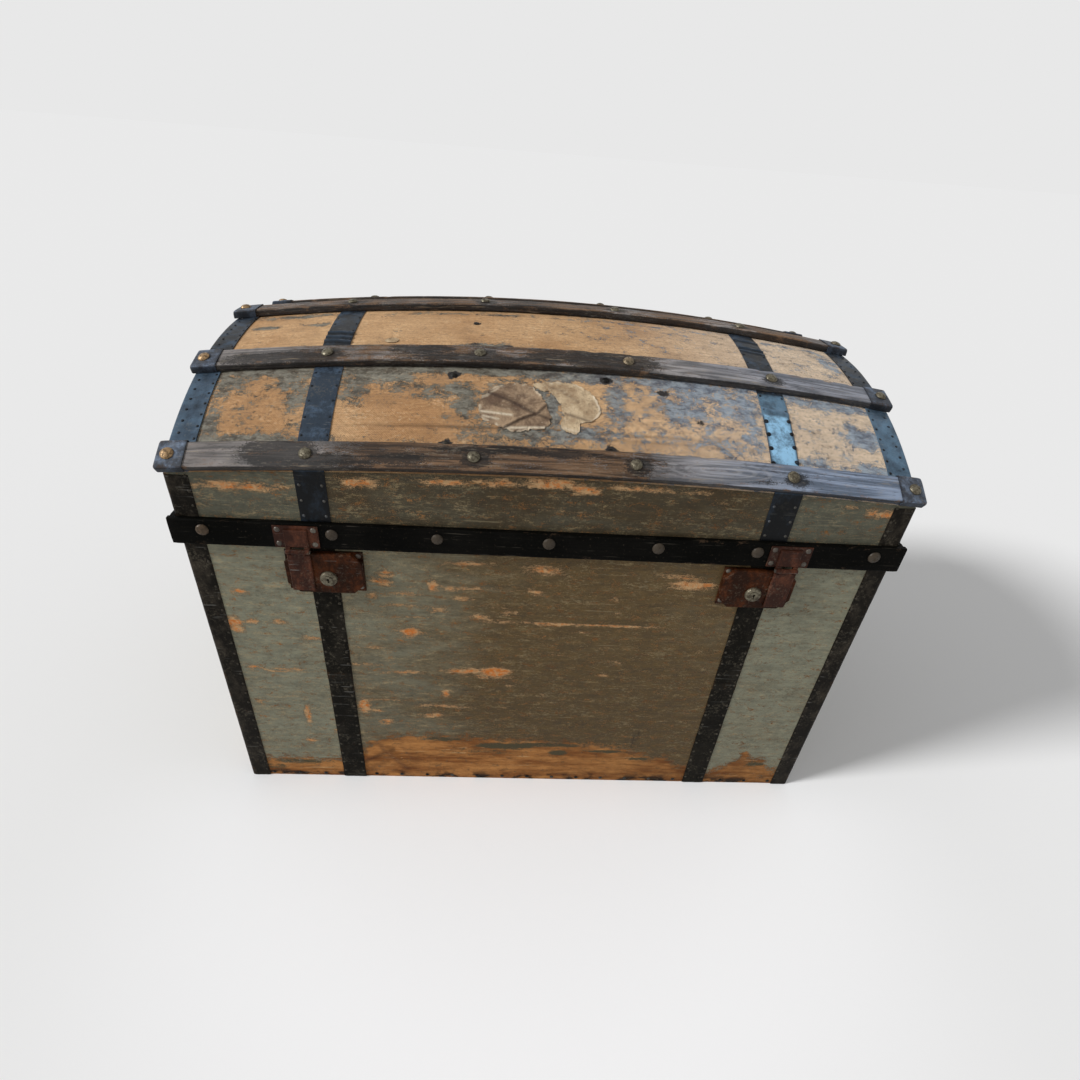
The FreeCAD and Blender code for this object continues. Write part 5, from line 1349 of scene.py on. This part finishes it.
# %% Brass heads
def brass_finish(tree):
    """Brass from warm to grey, darker under dirt, with painted shade round the foot of each head."""
    spot = place(tree)
    wear = use(patina, Place=spot, Size=16.0)
    warm = plus(layer(tree, "warm"), times_plus(cloud(spot, 60.0, 2.0), 0.5, -0.25))
    colour = mix(smooth(warm, 0.2, 0.8), (108, 102, 86), (164, 134, 98))
    dull = layer(tree, "dull")
    colour = coats(colour, (dull, 0.85, (44, 34, 27)))
    grime = smooth(cloud(spot, 300.0, 5.0, 0.72), 0.42, 0.6)
    # The foot of each head is darkened: painted shade where it meets the wood.
    colour = coats(colour, (grime, 0.75, (50, 42, 32)), (wear["Specks"], 0.5, (30, 27, 24)),
                   (layer(tree, "foot"), 0.8, (24, 22, 20)))
    hammered = cloud(spot, 420.0, 3.0, 0.6)
    return {"Base_Color": colour, "Roughness": smooth(grime, 0.0, 1.0, 0.3, 0.62),
            "Metallic": times_plus(dull, -0.45, 0.5), "Specular_IOR_Level": 0.2,
            "height": hammered, "depth": 0.6}


brass = coat("brass", brass_finish)
# First the nails on the slats, then those on the front, back and end battens
x, y = (v.ravel() for v in np.meshgrid(SLAT_NAIL_X, SLAT_Y))
over_shoe = np.where(np.abs(x) > 368 * MM, 1.0 * MM, 0.0)
places, ways = [*on_dome(x, dome_angle(x, y), SLAT_HIGH + over_shoe)], [*dome_way(x, y)]
NAIL_UP, FRONT_FACE, END_FACE = RIM + 19 * MM, 275.4 * MM, 398.4 * MM
for x in np.array([-364, -231.1, -120, 0, 120, 231.1, 364]) * MM:
    for face in (-1, 1):
        places.append((x, face * FRONT_FACE, NAIL_UP))
        ways.append((0, face, 0))
for y in np.array([-225.1, -94.9, 94.9, 225.1]) * MM:
    for face in (-1, 1):
        places.append((face * END_FACE, y, NAIL_UP))
        ways.append((face, 0, 0))
places = np.array(places)
on_batten = 1.0 * (np.abs(places[:, 2] - NAIL_UP) < 1 * MM)
at_left, by_chance = 1 - step(places[:, 0], -0.37, -0.3), step(ripple(9, 0.05, *places.T), 0.6, 1.0)
kept_warm = 0.15 + 0.75 * at_left + 0.3 * by_chance
nails = heads(places, ways, *NAIL, 11, sides=20, levels=6, warm=kept_warm, dull=on_batten)
make("dome_nails", [nails], "lid", brass, ["lid_nails"])

# %% [markdown]
# Two torn scraps of paper label cling to the dome, with a small chip of paper, and dark plugs sit
# where tacks once were. The scraps carry no writing. They could be drawn into the dome's finish, but
# paper that curls and creases throws small shadows, so each is a thin sheet of its own.

# %% Paper scraps and plugs
def paper(name, light, dark):
    """Aged paper in two tones, with painted shade on one side of its creases, and pale along its torn edges.
    """
    def build(tree):
        spot = place(tree)
        wear = use(patina, Place=spot, Size=22.0)
        dirt = use(grit, Place=spot, Size=330.0)
        patchy = cloud(spot, 45.0, 5.0, 0.65, 0.3)
        colour = mix(smooth(patchy, 0.36, 0.64), dark, light)
        colour = coats(colour, (layer(tree, "edge"), 0.85, (214, 200, 176)),
                       (layer(tree, "crease"), 0.9, (60, 46, 38)), (dirt["Dark"], 0.35, (78, 64, 52)),
                       (dirt["Light"], 0.3, (202, 186, 160)), (wear["Specks"], 0.6, (84, 68, 54)))
        fibres = cloud(spot, 700.0, 3.0, 0.6)
        return {"Base_Color": colour, "Roughness": smooth(fibres, 0.2, 0.8, 0.7, 0.92),
                "Specular_IOR_Level": 0.2, "height": times_plus(patchy, 3.0, fibres), "depth": 0.5}
    return coat(name, build)


def scrap(outline, seed, creases, edges=()):
    """A torn sheet inside an outline: a square grid is squeezed to a disc, and each ray of the disc is
    stretched until it meets the outline. Creases lift the sheet, and its rim curls up."""
    outline = np.array(outline, float)
    middle = outline.mean(0)
    turn = np.unwrap(np.arctan2(*(outline - middle).T[::-1]))
    order = np.argsort(np.mod(turn, 2 * math.pi))
    turn, far = np.mod(turn, 2 * math.pi)[order], np.linalg.norm(outline - middle, axis=1)[order]
    turn, far = np.concatenate([turn - 2 * math.pi, turn, turn + 2 * math.pi]), np.tile(far, 3)
    u, v = np.meshgrid(np.linspace(-1, 1, 60), np.linspace(-1, 1, 60), indexing="ij")
    a, b = u * np.sqrt(1 - v * v / 2), v * np.sqrt(1 - u * u / 2)
    rim, heading = np.hypot(a, b), np.mod(np.arctan2(b, a), 2 * math.pi)
    reach = np.interp(heading, turn, far) * (1 + 0.035 * ripple(seed + 1, 0.3, a, b) * rim)
    x = (middle[0] + rim * reach * np.cos(heading)) * MM
    y = (middle[1] + rim * reach * np.sin(heading)) * MM
    ridge, shady = folds(x, y, creases, 1.6 * MM)
    white = folds(x, y, edges, 1.2 * MM)[0]
    curl = step(rim, 0.88, 1.0)
    lift = 0.35 + 0.2 * (1 + ripple(seed + 2, 0.3, a, b)) + ridge
    lift = lift + 0.25 * curl * (1 + ripple(seed + 3, 0.3, a, b))
    angle = dome_angle(x, y)
    return slab(on_dome(x, angle, lift * MM), on_dome(x, angle, (lift - 0.22) * MM), together(x, y),
                crease=np.minimum(shady, 1),
                edge=np.maximum(white, 0.6 * curl * (ripple(seed + 4, 0.5, a, b) > 0.2)))


brown_paper = paper("brown_paper", (158, 134, 108), (98, 78, 63))
pale_paper = paper("pale_paper", (198, 176, 144), (150, 126, 98))
# Outlines (x and y, in millimetres), then creases and pale edges (start, end and strength)
BROWN_RIM = [
    (-82, -202), (-78, -191), (-68, -181), (-55, -175), (-37, -173), (-26, -175), (-19, -182), (-13, -191),
    (-8, -202), (-5, -210), (-5, -217), (-10, -224), (-26, -225), (-52, -226), (-67, -220), (-78, -214)]
BROWN_CREASES = [
    ((-69, -185), (-49, -193), 1.1), ((-49, -193), (-26, -205), 1.1), ((-26, -205), (-5, -213), 1.0),
    ((-53, -223), (-37, -214), 1.0), ((-37, -214), (-20, -207), 1.1), ((-20, -207), (-10, -197), 0.9),
    ((-66, -198), (-48, -202), 0.5)]
BROWN_EDGES = [
    ((-78, -208), (-46, -211), 1.0), ((-76, -213), (-60, -216), 0.8), ((-53, -225), (-11, -223), 1.0),
    ((-74, -190), (-62, -180), 0.6)]
brown = scrap(BROWN_RIM, 301, BROWN_CREASES, BROWN_EDGES)
PALE_RIM = [
    (-6, -170), (15, -169), (33, -175), (43, -185), (49, -199), (47, -208), (41, -213), (30, -215),
    (26, -218), (26, -226), (15, -228), (7, -223), (6, -217), (10, -209), (7, -197), (0, -187), (-8, -178)]
PALE_CREASES = [
    ((14, -206), (42, -214), 0.7), ((12, -182), (24, -190), 0.4), ((-4, -174), (8, -178), 0.4)]
PALE_EDGES = [
    ((42, -184), (49, -202), 0.9), ((49, -202), (42, -212), 0.8), ((8, -222), (24, -226), 0.6)]
pale = scrap(PALE_RIM, 311, PALE_CREASES, PALE_EDGES)
sliver = scrap([(-24, -173), (-14, -171), (-4, -170), (-2, -176), (-8, -180), (-18, -178)], 316, [])
chip = scrap([(-194, -104), (-190, -100), (-184, -99), (-178, -102), (-179, -106), (-186, -108)], 321, [])
make("label_scrap_brown", [brown], "lid", brown_paper)
make("label_scrap_pale", [pale, sliver], "lid", pale_paper)
make("paper_chip", [chip], "lid", pale_paper)
x, y = np.array([(-110, -163), (57, -160), (-113, -243), (59, -243), (-91, -59)]).T * MM
plugs = heads(on_dome(x, dome_angle(x, y), 0.0), dome_way(x, y), *PLUG, 331)
make("tack_plugs", [plugs], "lid", tack_steel)

# %% [markdown]
# ## Finishes for the solids that stay
# Boards, lining, lock parts, hinges and handles keep their own solids. They get wood whose grain runs
# along each board, aged paper, and the irons and brass made above. They could be made anew as meshes
# too, but their solids have the right shape already, and many of them are seen only with the lid up.

# %% Boards and paper
def board(name, light, dark, turn, ends_from=None):
    """Wood whose grain runs along x, or along y when turned; beyond ends_from it runs along y."""
    def build(tree):
        spot = after("Mapping", {0: place(tree), 2: turn}).outputs[0]
        if ends_from:
            turned = after("Mapping", {0: place(tree), 2: (0, 0, math.pi / 2)}).outputs[0]
            at_end = calc("GREATER_THAN", calc("ABSOLUTE", split(place(tree))[0]), ends_from)
            spot = after("Mix", {0: at_end, 4: spot, 5: turned}, data_type="VECTOR").outputs[1]
        lines = use(grain, Place=spot, Figure=1.0, Fibre=1.0)
        wear = use(patina, Place=spot, Size=5.0)
        colour = mix(smooth(lines["Shade"], 0.25, 0.8), dark, light)
        colour = coats(colour, (smooth(wear["Clouds"], 0.5, 0.75), 0.4, (92, 68, 46)))
        colour = mix(wear["Specks"], colour, (74, 54, 38))
        rough = smooth(lines["Shade"], 0.2, 0.9, 0.62, 0.85)
        return {"Base_Color": colour, "Roughness": rough, "height": lines["Height"], "depth": 0.5}
    return coat(name, build)


long_board = board("long_board", (176, 136, 92), (122, 86, 54), (0, 0, 0))
end_board = board("end_board", (172, 132, 90), (118, 84, 54), (0, 0, math.pi / 2))
tongue_wood = board("tongue_wood", (176, 138, 96), (126, 90, 58), (0, 0, 0), ends_from=0.379)


def lining(tree):
    """Pale paper with stains of damp, and wrinkles."""
    spot = place(tree)
    wear = use(patina, Place=spot, Size=3.5)
    damp = use(flake, Place=spot, Amount=times(wear["Clouds"], 0.72), Size=9.0, Ragged=0.35)
    fibres = cloud(spot, 620.0, 4.0, 0.6)
    colour = mix(smooth(wear["Clouds"], 0.3, 0.7), (206, 192, 160), (178, 160, 126))
    colour = coats(colour, (damp["Rim"], 0.5, (134, 106, 72)), (damp["Mask"], 0.3, (150, 124, 90)),
                   (wear["Specks"], 0.6, (120, 92, 62)))
    wrinkles = cloud(scaled(spot, 1.0, 1.0, 0.25), 26.0, 4.0, 0.6, 1.0)
    return {"Base_Color": colour, "Roughness": smooth(fibres, 0.2, 0.8, 0.72, 0.9),
            "height": times_plus(wrinkles, 3.0, fibres), "depth": 0.4}


lining_paper = coat("lining_paper", lining)


def pair(*names):
    """The names of the left one and the right one of each pair."""
    return [name + end for name in names for end in ("_left", "_right")]


WEAR = {
    long_board: ["body_front_board", "body_back_board", "bottom_board", "lid_front_board", "lid_back_board",
                 "dome_board_1", "dome_board_2", "dome_board_3", "dome_board_4"],
    tongue_wood: ["rim_tongue"],
    end_board: ["body_left_board", "body_right_board", "lid_left_board", "lid_right_board"],
    lining_paper: ["body_lining", "lid_lining"],
    lock_iron: pair("lock_case"),
    hasp_iron: pair("hasp", "hasp_plate"),
    brass: ["lock_bosses", *pair("lock_barrel")],
    steel: ["hasp_pins", "hinge_pins", "body_rivets", "lid_rivets", *pair("lock_bolt")],
    tack_steel: ["bottom_tacks"],
    plain_iron: ["hinge_body_leaves", "hinge_lid_leaves", *pair("handle_plate", "handle")],
}
for finish, names in WEAR.items():
    for name in names:
        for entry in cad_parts[name].material_slots:
            entry.material = finish
print("finished solids:", sum(map(len, WEAR.values())))

# %% [markdown]
# ## Floor and light
# The floor is a pale sheet that runs on far enough to meet the pale background; in front of the trunk it is
# painted lighter, a painted light that hides the trunk's shade on the floor. The sun lamp is wide, so its
# shadow is soft, and the sky gives even light from all sides. Lamps at the trunk's side would light one end
# more than the other. Sun and sky together light a flat surface at about one everywhere, so colours come out
# as they were written.

# %% Floor, sky and lamps
FLOOR, FLOOR_PAINTED_LIGHT, BACKDROP = (238, 238, 238), (252, 252, 253), (232, 232, 232)
SKY, SUN, SUN_FROM = 0.46, 2.95, (-0.78, -0.18, 0.50)


def floor_finish(tree):
    """Pale grey, and nearly white on the near side of the trunk: a painted light that hides the trunk's shade
    on the floor there.
    """
    fine = cloud(place(tree), 40.0, 3.0)
    away = after("VectorMath", {0: place(tree), 1: (0.0, -0.35, 0.0)}, operation="DISTANCE").outputs["Value"]
    # A painted pool of light on the floor in front of the trunk.
    painted_light = times(smooth(away, 0.66, 0.25), smooth(split(place(tree))[1], -0.2, -0.35))
    colour = mix(times(fine, 0.02), mix(painted_light, FLOOR, FLOOR_PAINTED_LIGHT), (220, 220, 220))
    return {"Base_Color": colour, "Roughness": smooth(fine, 0.0, 1.0, 0.85, 0.95), "Specular_IOR_Level": 0.0}


far = np.array([-60.0, 60.0])
ground = np.stack(np.meshgrid(far, far, [0.0], indexing="ij"), -1).reshape(4, 3)
sheet = bpy.data.meshes.new("floor")
sheet.from_pydata(ground.tolist(), [], [(0, 2, 3, 1)])
floor = bpy.data.objects.new("floor", sheet)
bpy.context.scene.collection.objects.link(floor)
sheet.materials.append(coat("floor_paint", floor_finish))

sun = bpy.data.lights.new("sun", "SUN")
sun.energy, sun.angle = SUN, math.radians(13)
lamp = bpy.data.objects.new("sun", sun)
bpy.context.scene.collection.objects.link(lamp)
lamp.rotation_euler = Vector(SUN_FROM).to_track_quat("Z", "Y").to_euler()

world = bpy.data.worlds.new("sky")
bpy.context.scene.world = world
world.use_nodes = True
tree = world.node_tree
ray = node(tree, "LightPath", {}).outputs
seen = larger(ray["Is Camera Ray"], larger(ray["Is Glossy Ray"], ray["Is Transmission Ray"]))
open_sky = tree.nodes["Background"]
join(open_sky.inputs["Color"], mix(seen, (SKY, SKY, SKY, 1.0), BACKDROP))
bpy.context.scene.view_settings.view_transform = "Standard"
